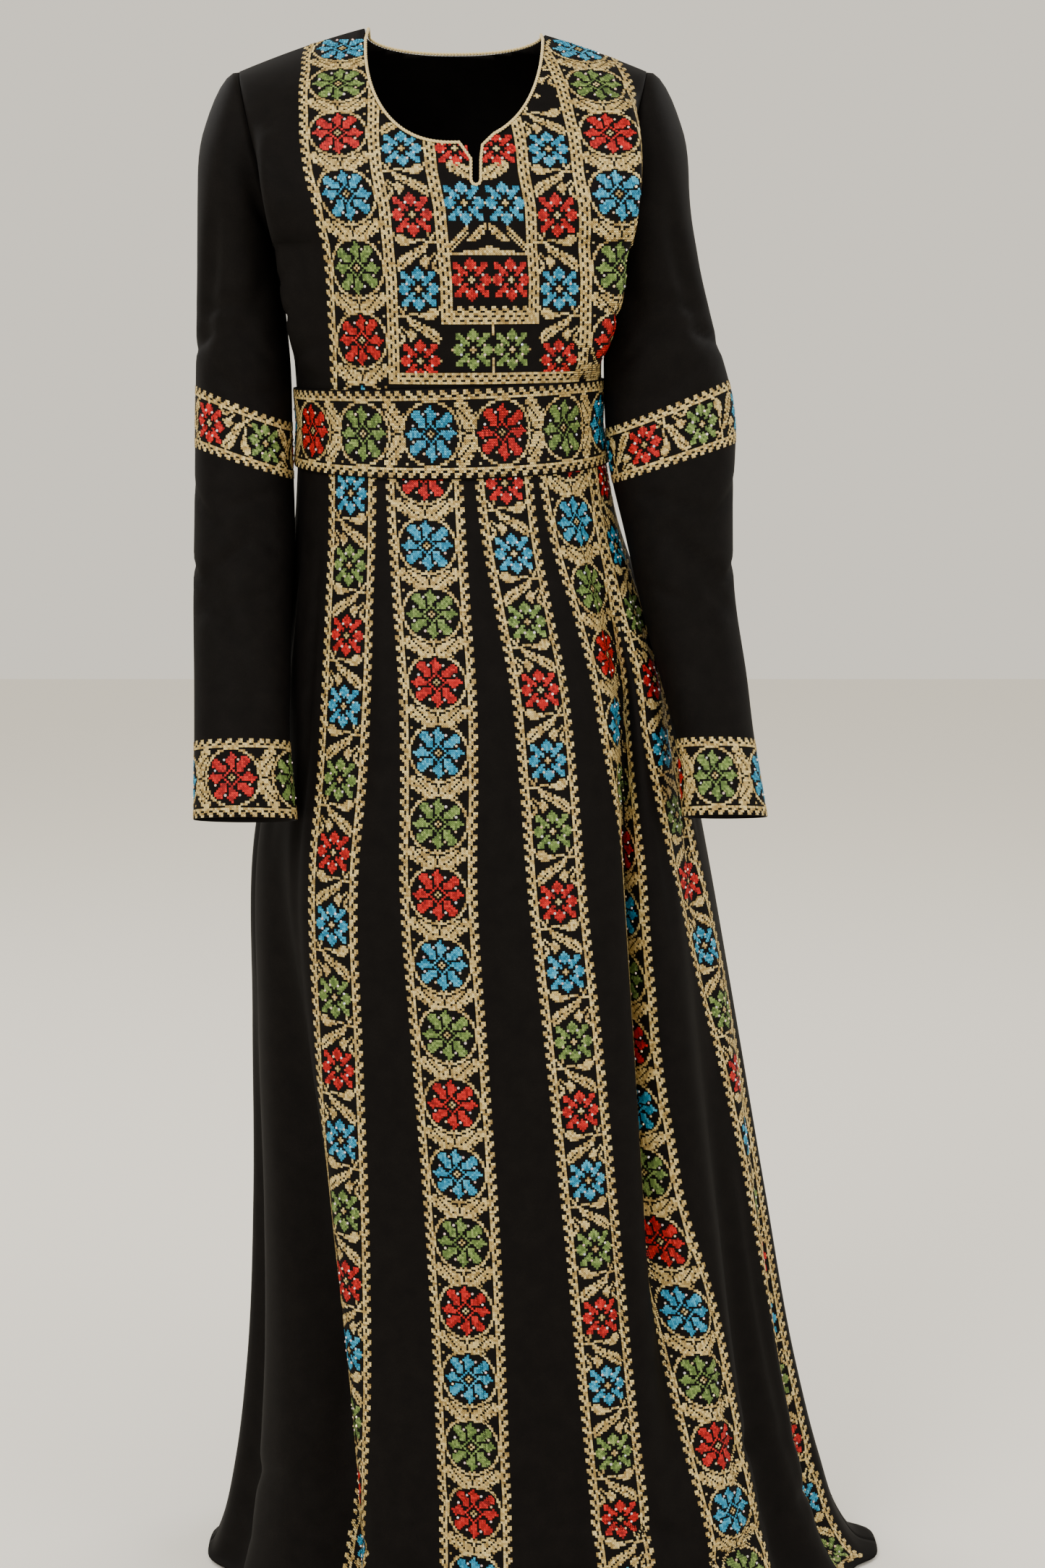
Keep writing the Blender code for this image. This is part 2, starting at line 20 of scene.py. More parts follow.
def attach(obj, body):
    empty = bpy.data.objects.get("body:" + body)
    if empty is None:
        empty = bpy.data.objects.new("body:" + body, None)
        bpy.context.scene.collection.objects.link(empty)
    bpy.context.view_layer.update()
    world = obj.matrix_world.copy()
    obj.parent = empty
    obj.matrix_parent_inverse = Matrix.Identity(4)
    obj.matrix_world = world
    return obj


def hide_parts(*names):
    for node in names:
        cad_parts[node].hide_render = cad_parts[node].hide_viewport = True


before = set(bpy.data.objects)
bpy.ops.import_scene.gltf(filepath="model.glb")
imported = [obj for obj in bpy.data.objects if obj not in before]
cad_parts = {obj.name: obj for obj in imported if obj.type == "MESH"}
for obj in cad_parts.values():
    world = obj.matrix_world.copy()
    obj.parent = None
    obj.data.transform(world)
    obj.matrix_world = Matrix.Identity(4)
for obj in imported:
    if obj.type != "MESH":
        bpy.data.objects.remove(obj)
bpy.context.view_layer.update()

# %% [markdown]
# ## Heights
#
# The tables below are in heights over the floor. The part's origin is where the shoulders carry the dress,
# 1.450 m up, so every finished point is lowered by that much. A stitch is 2 mm, as on common waste canvas.

# %% Driving sizes
CARRY_HEIGHT = 1.450
SEAM = 0.0003
WAIST = 1.109
UNDERARM = 1.269
CLOTH = 0.0008
BELT_CLOTH = 0.0016
STITCH = 0.0020
LOWER = np.array((0.0, 0.0, CARRY_HEIGHT))

# %% [markdown]
# ## Shape of the dress
#
# A dress like this can be draped with a cloth simulation, but then no fold is where the photograph has it.
# Here each piece is a surface with two coordinates, as a pattern cutter would see it: how far round the
# body, and how far down. The level sections and the main folds are the same as in the solids.

# %% Sections of the bodice and the skirt
BODICE_SECTIONS = [
    (1.109, -0.1340, 0.1420, -0.108, 0.080, 0.010),
    (1.145, -0.1360, 0.1430, -0.116, 0.086, 0.008),
    (1.190, -0.1385, 0.1435, -0.128, 0.094, 0.005),
    (1.230, -0.1420, 0.1440, -0.137, 0.101, 0.002),
    (1.269, -0.1453, 0.1453, -0.140, 0.105, 0.000),
]
SKIRT_SECTIONS = [
    (1.109, -0.1340, 0.1420, -0.108, 0.080, 0.010),
    (1.072, -0.1360, 0.1480, -0.113, 0.088, 0.012),
    (1.020, -0.1395, 0.1590, -0.122, 0.102, 0.015),
    (0.950, -0.1490, 0.1840, -0.135, 0.117, 0.015),
    (0.880, -0.1590, 0.2100, -0.147, 0.129, 0.012),
    (0.800, -0.1690, 0.2270, -0.157, 0.140, 0.010),
    (0.720, -0.1820, 0.2430, -0.166, 0.150, 0.008),
    (0.550, -0.1860, 0.2740, -0.180, 0.168, 0.005),
    (0.380, -0.1880, 0.3040, -0.194, 0.190, 0.005),
    (0.200, -0.1980, 0.3375, -0.210, 0.220, 0.010),
    (0.100, -0.2110, 0.3630, -0.222, 0.243, 0.015),
    (0.035, -0.2250, 0.3850, -0.238, 0.262, 0.020),
    (0.011, -0.2340, 0.4020, -0.258, 0.280, 0.020),
    (0.0045, -0.2400, 0.4220, -0.284, 0.302, 0.020),
]


def with_distance(rows, columns):
    """The table with a new first column: the distance from its first row, through the given columns."""
    rows = np.array(rows, dtype=float)
    steps = np.linalg.norm(np.diff(rows[:, columns], axis=0), axis=1)
    return np.column_stack((np.concatenate(([0.0], np.cumsum(steps))), rows))


def table_at(rows, at):
    """Rows of a table at places between its own rows, on a smooth curve through all of them."""
    rows, at = np.array(rows, dtype=float), np.asarray(at, dtype=float)
    place = rows[:, 0]
    slopes = np.gradient(rows, place, axis=0)
    k = np.clip(np.searchsorted(place, at, side="right") - 1, 0, len(place) - 2)
    step = (place[k + 1] - place[k])[..., None]
    f = (at - place[k])[..., None] / step
    rise = (1 + 2 * f) * (1 - f) ** 2 * rows[k] + f * f * (3 - 2 * f) * rows[k + 1]
    return rise + step * (f * (1 - f) ** 2 * slopes[k] - f * f * (1 - f) * slopes[k + 1])


SKIRT_RINGS = with_distance(SKIRT_SECTIONS, [0, 2, 3])
SKIRT_LENGTH = SKIRT_RINGS[-1][0]
print("skirt, down the cloth:", round(SKIRT_LENGTH, 3), "m")

# %% [markdown]
# ## Folds and creases
#
# A fold hangs from a place that carries the cloth, and widens on its way down. A crease is short and shallow,
# and it comes where the cloth is pressed or bent. Both are soft troughs here. The first table is that of the
# solids, and the later ones are placed one by one, uneven in length, depth and spacing, at the back as well.

# %% Folds of the skirt: angle at the top and the foot, start and end height, half width in degrees, depth
SKIRT_FOLDS = [
    (-64.0, -35.0, 0.84, -0.10, 6.5, 0.042),
    (51.0, 33.0, 1.05, 0.12, 5.0, 0.040),
    (-22.0, -16.0, 0.80, -0.10, 7.0, 0.012),
    (6.0, 8.0, 0.62, -0.10, 7.0, 0.014),
    (64.0, 57.0, 0.86, -0.10, 6.5, 0.024),
    (84.0, 77.0, 0.66, -0.10, 6.0, 0.022),
    (-86.0, -72.0, 0.70, -0.10, 7.0, 0.024),
    (102.0, 104.0, 0.90, -0.10, 7.0, 0.030),
    (122.0, 127.0, 1.00, -0.10, 7.5, 0.026),
    (143.0, 148.0, 0.84, -0.10, 8.0, 0.036),
    (166.0, 169.0, 1.02, -0.10, 7.5, 0.030),
    (-172.0, -170.0, 0.74, -0.10, 7.0, 0.026),
    (-150.0, -152.0, 0.98, -0.10, 8.0, 0.038),
    (-128.0, -129.0, 0.86, -0.10, 7.5, 0.030),
    (-106.0, -105.0, 0.76, -0.10, 7.0, 0.026),
]
SKIRT_CREASES = [
    (-71.0, -66.0, 1.06, 0.70, 2.6, 0.0040),
    (-54.0, -50.0, 1.05, 0.52, 2.2, 0.0034),
    (-31.0, -29.0, 1.04, 0.66, 2.4, 0.0030),
    (-2.0, 1.0, 1.05, 0.80, 2.2, 0.0022),
    (11.0, 9.0, 1.04, 0.62, 2.6, 0.0032),
    (29.0, 26.0, 1.06, 0.74, 2.0, 0.0028),
    (58.0, 52.0, 1.05, 0.58, 2.4, 0.0044),
    (71.0, 66.0, 1.06, 0.40, 2.6, 0.0050),
    (79.0, 76.0, 1.02, 0.72, 2.0, 0.0040),
    (-80.0, -77.0, 0.98, 0.44, 2.2, 0.0036),
    (-45.0, -47.0, 0.52, 0.06, 2.0, 0.0050),
    (-8.0, -6.0, 0.46, 0.03, 2.2, 0.0050),
    (24.0, 22.0, 0.60, 0.04, 2.4, 0.0060),
    (47.0, 46.0, 0.40, 0.02, 2.0, 0.0055),
    (69.0, 68.0, 0.50, 0.03, 2.2, 0.0060),
    (96.0, 97.0, 1.04, 0.60, 2.6, 0.0046),
    (113.0, 115.0, 1.05, 0.72, 2.2, 0.0038),
    (133.0, 136.0, 1.06, 0.52, 2.8, 0.0048),
    (157.0, 158.0, 1.05, 0.66, 2.2, 0.0036),
    (179.0, 180.0, 1.06, 0.48, 2.6, 0.0042),
    (-161.0, -161.0, 1.05, 0.70, 2.4, 0.0040),
    (-139.0, -141.0, 1.06, 0.56, 2.6, 0.0046),
    (-117.0, -117.0, 1.04, 0.64, 2.2, 0.0038),
    (112.0, 113.0, 0.48, 0.04, 2.6, 0.0060),
    (139.0, 139.0, 0.40, 0.02, 2.2, 0.0055),
    (-160.0, -161.0, 0.46, 0.03, 2.6, 0.0060),
    (-118.0, -117.0, 0.42, 0.02, 2.2, 0.0055),
]

# %% Creases across the skirt: angle, height, reach in degrees, half height, rise per degree, depth
SKIRT_BREAKS = [
    (-58.0, 0.130, 16.0, 0.012, 0.0010, 0.0050),
    (-30.0, 0.085, 13.0, 0.010, -0.0012, 0.0055),
    (-12.0, 0.150, 11.0, 0.011, 0.0008, 0.0040),
    (4.0, 0.070, 12.0, 0.010, 0.0006, 0.0055),
    (21.0, 0.120, 10.0, 0.012, -0.0014, 0.0050),
    (40.0, 0.080, 12.0, 0.010, 0.0012, 0.0060),
    (58.0, 0.160, 12.0, 0.013, -0.0010, 0.0050),
    (76.0, 0.100, 11.0, 0.011, 0.0014, 0.0055),
    (-78.0, 0.070, 10.0, 0.010, -0.0010, 0.0045),
    (104.0, 0.120, 13.0, 0.012, 0.0010, 0.0050),
    (131.0, 0.080, 14.0, 0.010, -0.0012, 0.0055),
    (160.0, 0.140, 13.0, 0.012, 0.0009, 0.0050),
    (-174.0, 0.075, 12.0, 0.010, -0.0008, 0.0055),
    (-146.0, 0.110, 14.0, 0.012, 0.0012, 0.0050),
    (-118.0, 0.085, 12.0, 0.010, -0.0011, 0.0050),
    (-96.0, 0.150, 10.0, 0.012, 0.0010, 0.0045),
]
FOLD_SWELL = 1.25
FOLD_FADE = 0.25
SEAM_STIFFNESS = 8.0


def turned(angle):
    """An angle in degrees brought to between -180 and 180."""
    return (angle + 180.0) % 360.0 - 180.0


def troughs(folds, angle, place):
    """Depth of folds that rise from nothing, are deepest half way and end in nothing."""
    depth = np.zeros(np.broadcast(angle, place).shape)
    for top_angle, foot_angle, start, end, half_width, middle_depth in folds:
        along = np.clip((place - start) / (end - start), 0.0, 1.0)
        off = turned(angle - top_angle - (foot_angle - top_angle) * along)
        depth += middle_depth * np.sin(np.pi * along) * np.exp(-((off / half_width) ** 2))
    return depth


# The deep tuck that swallows a part of the fourth band: height, angle and how far it is pushed back
SKIRT_TUCK = np.array([
    (0.34, 35.0, 0.0), (0.426, 36.5, 0.012), (0.50, 38.4, 0.022), (0.541, 39.2, 0.024), (0.595, 40.7, 0.024),
    (0.72, 44.0, 0.024), (0.853, 48.3, 0.022), (0.92, 50.2, 0.018), (0.98, 52.0, 0.010), (1.06, 54.0, 0.0),
])
TUCK_WIDTH = 2.8


def creases_across(creases, angle, height):
    """Depth of short creases that run across the cloth, with a slant."""
    depth = np.zeros(np.broadcast(angle, height).shape)
    for at_angle, at_height, reach, half_height, rise, middle_depth in creases:
        off = turned(angle - at_angle)
        above = height - at_height - rise * off
        depth += middle_depth * np.exp(-((off / reach) ** 2) - (above / half_height) ** 2)
    return depth


def seam_calm(angle):
    """0 on a side seam and 1 away from it: cloth doubled in a seam is stiff and takes no fold."""
    from_seam = np.abs(np.abs(turned(angle)) - 90.0)
    return 1 - np.exp(-((from_seam / SEAM_STIFFNESS) ** 4))


def section_points(section, angle):
    """Points of level sections at angles from the front."""
    height, left, right, front, back, side = np.moveaxis(section, -1, 0)
    turn = np.radians(angle)
    x = (left + right) / 2 + (right - left) / 2 * np.sin(turn)
    reach = np.where(np.cos(turn) > 0, front, back)
    y = side + (reach - side) * np.abs(np.cos(turn))
    return np.stack(np.broadcast_arrays(x, y, height), axis=-1)


def pressed(points, section, depth):
    """Points of a section moved towards its middle by a depth."""
    middle = np.stack(((section[..., 1] + section[..., 2]) / 2, section[..., 5], section[..., 0]), axis=-1)
    spoke = points - middle
    length = np.linalg.norm(spoke, axis=-1)
    return middle + spoke * (1 - depth / length)[..., None]


def skirt_surface(angle, down):
    """Outer face of the skirt at an angle from the front and a distance down the cloth from the waist."""
    angle, down = np.broadcast_arrays(np.asarray(angle, dtype=float), np.asarray(down, dtype=float))
    section = table_at(SKIRT_RINGS, down)[..., 1:]
    height = section[..., 0]
    depth = np.zeros(angle.shape)
    for top_angle, foot_angle, start, end, half_width, foot_depth in SKIRT_FOLDS:
        along = np.clip((start - height) / (start - end), 0.0, 1.0)
        swell = np.sin(np.pi / 2 * np.minimum(along * FOLD_SWELL, 1.0)) ** 1.5
        if end > 0:
            swell = swell * np.clip((height - end) / FOLD_FADE, 0.0, 1.0)
        off = turned(angle - top_angle - (foot_angle - top_angle) * along)
        depth += foot_depth * swell * np.exp(-((off / half_width) ** 2))
    depth += troughs(SKIRT_CREASES, angle, height)
    depth += creases_across(SKIRT_BREAKS, angle, height)
    points = pressed(section_points(section, angle), section, depth * seam_calm(angle))
    tuck_angle, tuck_depth = (np.interp(height, SKIRT_TUCK[:, 0], SKIRT_TUCK[:, i]) for i in (1, 2))
    points[..., 1] += tuck_depth * np.exp(-((turned(angle - tuck_angle) / TUCK_WIDTH) ** 2))
    return points - LOWER - np.array((0, 0, SEAM / 2))


print("folds and creases of the skirt:", len(SKIRT_FOLDS) + len(SKIRT_CREASES) + len(SKIRT_BREAKS))

# %% [markdown]
# ## Bodice
#
# The bodice is a front and a back, joined at the sides and on the shoulders. Below the arms it is a tube round
# the chest. Above them each half runs up and over to the shoulder seam, between the two armholes. It is blouse-like:
# the belt gathers it, so it creases over the belt and below the bust.

# %% Shape of the bodice
CHEST = {"depth": -0.140, "fall": 2.2}
BACK = {"depth": 0.105, "fall": 3.2}
SHOULDER_PEAK = 1.470
SHOULDER_CURVE = 1.5
SHOULDER_EASE = 0.008
ARMHOLE = {"x": 0.1635, "z": 1.345, "half_height": 0.078, "half_depth": 0.062, "lean": 76.5}
BODICE_FOLDS = [
    (-66.0, -52.0, 1.33, 1.16, 8.0, 0.0045),
    (64.0, 50.0, 1.34, 1.16, 8.0, 0.0050),
    (34.0, 30.0, 1.24, 1.13, 7.0, 0.0030),
    (-34.0, -30.0, 1.23, 1.13, 7.0, 0.0030),
    (150.0, 158.0, 1.30, 1.14, 9.0, 0.0045),
    (-148.0, -156.0, 1.31, 1.14, 9.0, 0.0045),
    (118.0, 130.0, 1.34, 1.18, 9.0, 0.0040),
    (-118.0, -128.0, 1.33, 1.18, 9.0, 0.0040),
]
BODICE_BREAKS = [
    (-70.0, 1.205, 11.0, 0.0055, 0.0008, 0.0034),
    (-58.0, 1.178, 12.0, 0.0050, 0.0006, 0.0036),
    (-74.0, 1.162, 9.0, 0.0050, 0.0010, 0.0030),
    (-66.0, 1.240, 10.0, 0.0060, 0.0011, 0.0028),
    (-38.0, 1.160, 10.0, 0.0045, -0.0004, 0.0020),
    (52.0, 1.176, 10.0, 0.0050, -0.0010, 0.0036),
    (62.0, 1.208, 10.0, 0.0055, -0.0012, 0.0040),
    (70.0, 1.246, 10.0, 0.0060, -0.0010, 0.0036),
    (48.0, 1.158, 11.0, 0.0045, 0.0004, 0.0024),
    (75.0, 1.165, 9.0, 0.0050, -0.0006, 0.0030),
    (72.0, 1.284, 9.0, 0.0060, -0.0013, 0.0028),
    (108.0, 1.170, 11.0, 0.0055, 0.0006, 0.0034),
    (128.0, 1.192, 12.0, 0.0060, 0.0005, 0.0036),
    (160.0, 1.165, 13.0, 0.0055, -0.0003, 0.0030),
    (-165.0, 1.180, 12.0, 0.0060, 0.0004, 0.0034),
    (-136.0, 1.168, 12.0, 0.0055, -0.0005, 0.0036),
    (-110.0, 1.195, 10.0, 0.0060, -0.0008, 0.0032),
    (140.0, 1.235, 12.0, 0.0065, 0.0008, 0.0028),
    (-142.0, 1.228, 12.0, 0.0065, -0.0007, 0.0028),
]


BODICE_FULLNESS = [
    (60.0, 1.154, 1.40, 13.0, 0.040, 0.028),
    (-64.0, 1.154, 1.37, 12.0, -0.016, 0.020),
]
FULLNESS_SWELL = 0.6


def fullness(angle, height):
    """How far the cloth that hangs over the belt beside the arms stands out: sideways and forwards."""
    shift = np.zeros((*np.broadcast(angle, height).shape, 3))
    for at_angle, low, high, half_width, sideways, forwards in BODICE_FULLNESS:
        along = np.clip((height - low) / (high - low), 0.0, 1.0)
        share = np.maximum(np.sin(np.pi * along), 0.0) ** FULLNESS_SWELL
        share = share * np.exp(-((turned(angle - at_angle) / half_width) ** 2)) * seam_calm(angle)
        share = np.where(np.abs(turned(angle)) < 90, share, 0.0)
        shift += share[..., None] * np.array((sideways, -forwards, 0.0))
    return shift


def armhole_points(turn):
    """The armhole on the wearer's left: turn -90 at the underarm, 0 at the front, 90 at the shoulder."""
    lean, turn = math.radians(ARMHOLE["lean"]), np.radians(turn)
    up = ARMHOLE["half_height"] * np.sin(turn)
    x = ARMHOLE["x"] + up * math.cos(lean)
    return x, -ARMHOLE["half_depth"] * np.cos(turn), ARMHOLE["z"] + up * math.sin(lean)


def bodice_low(angle, height):
    """Outer face of the bodice between the waist and the underarm."""
    angle, height = np.broadcast_arrays(np.asarray(angle, dtype=float), np.asarray(height, dtype=float))
    section = table_at(BODICE_SECTIONS, height)
    depth = troughs(BODICE_FOLDS, angle, height) + creases_across(BODICE_BREAKS, angle, height) * seam_calm(angle)
    return pressed(section_points(section, angle), section, depth) + fullness(angle, height)


def bodice_high(angle, climb, back):
    """Outer face of the bodice from the underarm, climb 0, to the shoulder seam, climb 1."""
    angle, climb = np.broadcast_arrays(np.asarray(angle, dtype=float), np.asarray(climb, dtype=float))
    turn = -90 + 180 * climb
    edge_x, edge_y, edge_z = armhole_points(180 - turn if back else turn)
    half = BACK if back else CHEST
    across, inward = np.sin(np.radians(angle)), np.abs(np.cos(np.radians(angle)))
    middle_y = half["depth"] * (1 - climb ** half["fall"])
    middle_z = UNDERARM + (SHOULDER_PEAK - UNDERARM) * climb
    y = edge_y + (middle_y - edge_y) * inward
    z = edge_z + (middle_z - edge_z) * (1 - np.abs(across) ** SHOULDER_CURVE)
    body_angle = 180 - angle if back else angle
    depth = troughs(BODICE_FOLDS, body_angle, z) + creases_across(BODICE_BREAKS, body_angle, z)
    depth = depth * (1 - np.abs(across)) ** 0.5
    points = np.stack((edge_x * across, y - np.copysign(depth, half["depth"]), z), axis=-1)
    return points if back else points + fullness(angle, z)


print("shoulder seam at", round(SHOULDER_PEAK - CARRY_HEIGHT, 3), "m over the origin")

# %% [markdown]
# ## Thin cloth from rows of points
#
# Each piece is a grid of points on its outer face. A Solidify modifier gives it the thickness of crepe towards
# the inside, and its result is kept as a plain mesh, so that later steps can rely on the very faces that show.

# %% One small function for nodes, one for colours, one for finished meshes


def node(tree, kind, settings=None, links=None):
    """Adds a node, sets its properties (small letters) and inputs (capitals or numbers), and links into it."""
    made = tree.nodes.new(kind)
    for key, value in (settings or {}).items():
        if isinstance(key, str) and key[0].islower():
            setattr(made, key, value)
        else:
            made.inputs[key].default_value = value
    for key, source in (links or {}).items():
        tree.links.new(source, made.inputs[key])
    return made


def linear(code):
    """A colour given as sRGB hex, as linear red, green, blue and alpha."""
    values = [int(code[i:i + 2], 16) / 255 for i in (1, 3, 5)]
    return (*[v / 12.92 if v <= 0.04045 else ((v + 0.055) / 1.055) ** 2.4 for v in values], 1.0)


def made_plain(piece):
    """The piece as its modifiers show it, as a plain mesh object under the same name."""
    bpy.context.view_layer.update()
    evaluated = piece.evaluated_get(bpy.context.evaluated_depsgraph_get())
    mesh = bpy.data.meshes.new_from_object(evaluated)
    name = piece.name
    bpy.data.objects.remove(piece)
    plain = bpy.data.objects.new(name, mesh)
    mesh.name = name
    bpy.context.scene.collection.objects.link(plain)
    return plain


def grid_object(name, points, closed=False):
    """An open sheet through rows of points, foot row first, closed round if asked."""
    rows, width = points.shape[:2]
    last = width if closed else width - 1
    j, i = np.meshgrid(np.arange(rows - 1), np.arange(last), indexing="ij")
    k = (i + 1) % width
    faces = np.stack((j * width + i, j * width + k, (j + 1) * width + k, (j + 1) * width + i), axis=-1)
    mesh = bpy.data.meshes.new(name)
    mesh.from_pydata(points.reshape(-1, 3).tolist(), [], faces.reshape(-1, 4).tolist())
    mesh.shade_smooth()
    piece = bpy.data.objects.new(name, mesh)
    bpy.context.scene.collection.objects.link(piece)
    return piece


def thick(piece, thickness):
    """Gives the sheet its thickness, towards the inside."""
    wall = piece.modifiers.new("cloth", "SOLIDIFY")
    wall.thickness = thickness
    wall.offset = -1.0
    wall.use_even_offset = True
    return piece


def triangles(piece):
    """How many triangles a piece has."""
    return sum(len(face.vertices) - 2 for face in piece.data.polygons)


def dressed(piece, node_name, material):
    """Puts a finished cloth piece in its CAD node's place, with its material."""
    piece.data.materials.clear()
    piece.data.materials.append(material)
    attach(piece, "root")
    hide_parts(node_name)
    print(piece.name, triangles(piece), "triangles")


# %% Skirt, front and back
SKIRT_ROWS = 170
SKIRT_FRONT_COLUMNS = 140
SKIRT_BACK_COLUMNS = 110
downs = np.linspace(SKIRT_LENGTH, 0.0, SKIRT_ROWS + 1)[:, None]


def skirt_half(name, first, last, columns, way):
    """One half of the skirt, between two side seams."""
    points = skirt_surface(np.linspace(first, last, columns + 1)[None, :], downs)
    return made_plain(thick(grid_object(name, points + np.array((0, way * SEAM / 2, 0))), CLOTH))


skirt_front = skirt_half("skirt_front_cloth", -90.0, 90.0, SKIRT_FRONT_COLUMNS, -1)
skirt_back = skirt_half("skirt_back_cloth", 90.0, 270.0, SKIRT_BACK_COLUMNS, 1)
print("skirt:", triangles(skirt_front), "and", triangles(skirt_back), "triangles")

# %% [markdown]
# ## Neck opening
#
# The neck is a round scoop with a short slit at the foot of it. On cloth it is cut with scissors, and here with a
# Boolean modifier: the outline is a flat curve, made solid along the depth of the body, and taken out of each half.

# %% Bodice, front and back, and its neck
NECK = {"centre": 0.0105, "half_width": 0.0805, "top": 1.456, "front": 0.103, "back": 0.018, "square": 2.3}
SLIT = {"x": 0.031, "width": 0.0120, "length": 0.036}
NECK_POINTS = 60
BODICE_COLUMNS = 72
BODICE_LOWER_ROWS = 34
BODICE_UPPER_ROWS = 36
LAST_CLIMB = 8 / 9


def neck_outline(drop, grow=0.0):
    """The neck opening as x and z, from the wearer's right round the scoop to the left."""
    turn = np.linspace(0.0, np.pi, NECK_POINTS + 1)
    across, deep = np.cos(turn), np.maximum(np.sin(turn), 0.0)
    power = 2 / NECK["square"]
    x = NECK["centre"] - (NECK["half_width"] + grow) * np.copysign(np.abs(across) ** power, across)
    z = NECK["top"] - (drop + grow) * deep ** power
    return list(zip(x, z))


def front_outline(grow=0.0):
    """The scoop with the slit let into it."""
    half = SLIT["width"] / 2 + grow
    top = NECK["top"] - NECK["front"] - grow
    foot = top - SLIT["length"]
    left = [(-half * 1.3, top - 0.002), (-half, top - 0.014), (-half, foot + half), (-half * 0.7, foot + half * 0.3)]
    right = [(-x, z) for x, z in reversed(left)]
    slit = [(SLIT["x"] + x, z) for x, z in left + [(0.0, foot)] + right]
    scoop = neck_outline(NECK["front"], grow)
    before = [p for p in scoop if p[0] < SLIT["x"] - SLIT["width"]]
    after = [p for p in scoop if p[0] > SLIT["x"] + SLIT["width"]]
    return before + slit + after


def cut_neck(piece, outline):
    """Cuts the outline out of a bodice half, along the depth of the body."""
    rim, reach = NECK["top"] + 0.05, 0.3
    loop = outline + [(outline[-1][0], rim), (outline[0][0], rim)]
    shape = bmesh.new()
    face = shape.faces.new([shape.verts.new((x, -reach, z - CARRY_HEIGHT)) for x, z in loop])
    ends = bmesh.ops.extrude_face_region(shape, geom=[face])["geom"]
    bmesh.ops.translate(shape, verts=[v for v in ends if isinstance(v, bmesh.types.BMVert)], vec=(0, 2 * reach, 0))
    bmesh.ops.recalc_face_normals(shape, faces=shape.faces)
    if shape.calc_volume(signed=True) < 0:
        bmesh.ops.reverse_faces(shape, faces=shape.faces)
    mesh = bpy.data.meshes.new("neck_cutter")
    shape.to_mesh(mesh)
    shape.free()
    cutter = bpy.data.objects.new("neck_cutter", mesh)
    bpy.context.scene.collection.objects.link(cutter)
    cut = piece.modifiers.new("neck", "BOOLEAN")
    cut.operation = "DIFFERENCE"
    cut.solver = "EXACT"
    cut.object = cutter
    plain = made_plain(piece)
    bpy.data.objects.remove(cutter)
    return plain


def bodice_half(name, back, outline):
    """One half of the bodice, from the waist seam to the shoulder seam, with its neck cut."""
    angle = np.linspace(-90.0, 90.0, BODICE_COLUMNS + 1)[None, :]
    height = np.linspace(WAIST, UNDERARM, BODICE_LOWER_ROWS + 1)[:-1, None]
    low = bodice_low(180 - angle if back else angle, height)
    high = bodice_high(angle, np.linspace(0.0, LAST_CLIMB, BODICE_UPPER_ROWS + 1)[:, None], back)
    seam = bodice_high(angle, np.ones((1, 1)), back)
    way = 1 if back else -1
    points = np.concatenate((low, high, seam + np.array((0, way * SHOULDER_EASE, 0)), seam))
    if back:
        points = points[:, ::-1]
    points = points - LOWER + np.array((0, way * SEAM / 2, SEAM / 2))
    return cut_neck(thick(grid_object(name, points), CLOTH), outline)


bodice_front = bodice_half("bodice_front_cloth", False, front_outline())
bodice_back = bodice_half("bodice_back_cloth", True, neck_outline(NECK["back"]))
print("bodice:", triangles(bodice_front), "and", triangles(bodice_back), "triangles")

# %% [markdown]
# ## Sleeves
#
# The sleeves are long tubes that widen a little at the elbow and end in a wide cuff. The arms are bent forward, so
# cloth bunches inside the elbow and pulls tight over it. Each sleeve is a row of leaning rings, as in the solids.

# %% Rings of the sleeves: x outwards, y, z of the centre, half width, half depth, lean, pitch
SLEEVE_RINGS = {
    "right": [
        (0.1820, -0.002, 1.3174, 0.0640, 0.0620, 60.0, 0.0),
        (0.1850, -0.004, 1.2828, 0.0490, 0.0560, 42.0, 0.0),
        (0.1836, -0.006, 1.2350, 0.0457, 0.0500, 30.0, 0.0),
        (0.1826, -0.006, 1.1800, 0.0466, 0.0470, 24.0, 0.0),
        (0.1832, -0.008, 1.1000, 0.0470, 0.0440, 20.0, 2.0),
        (0.1825, -0.024, 1.0200, 0.0470, 0.0420, 14.0, 6.0),
        (0.1835, -0.048, 0.9500, 0.0450, 0.0390, 8.0, 10.0),
        (0.1825, -0.074, 0.8800, 0.0435, 0.0370, 3.0, 13.0),
        (0.1820, -0.090, 0.8370, 0.0430, 0.0350, 0.0, 15.0),
        (0.1780, -0.114, 0.7610, 0.0465, 0.0360, 0.0, 15.0),
    ],
    "left": [
        (0.1820, -0.002, 1.3174, 0.0640, 0.0620, 60.0, 0.0),
        (0.1850, -0.004, 1.2828, 0.0490, 0.0560, 42.0, 0.0),
        (0.1878, -0.006, 1.2350, 0.0488, 0.0500, 30.0, 0.0),
        (0.1940, -0.006, 1.1800, 0.0543, 0.0480, 25.0, 0.0),
        (0.2067, -0.008, 1.1000, 0.0613, 0.0460, 20.0, 2.0),
        (0.2140, -0.022, 1.0200, 0.0505, 0.0430, 14.0, 6.0),
        (0.2220, -0.042, 0.9500, 0.0430, 0.0390, 8.0, 10.0),
        (0.2360, -0.064, 0.8800, 0.0390, 0.0370, 2.0, 12.0),
        (0.2440, -0.078, 0.8370, 0.0360, 0.0350, 0.0, 14.0),
        (0.2540, -0.100, 0.7610, 0.0380, 0.0350, 0.0, 14.0),
    ],
}
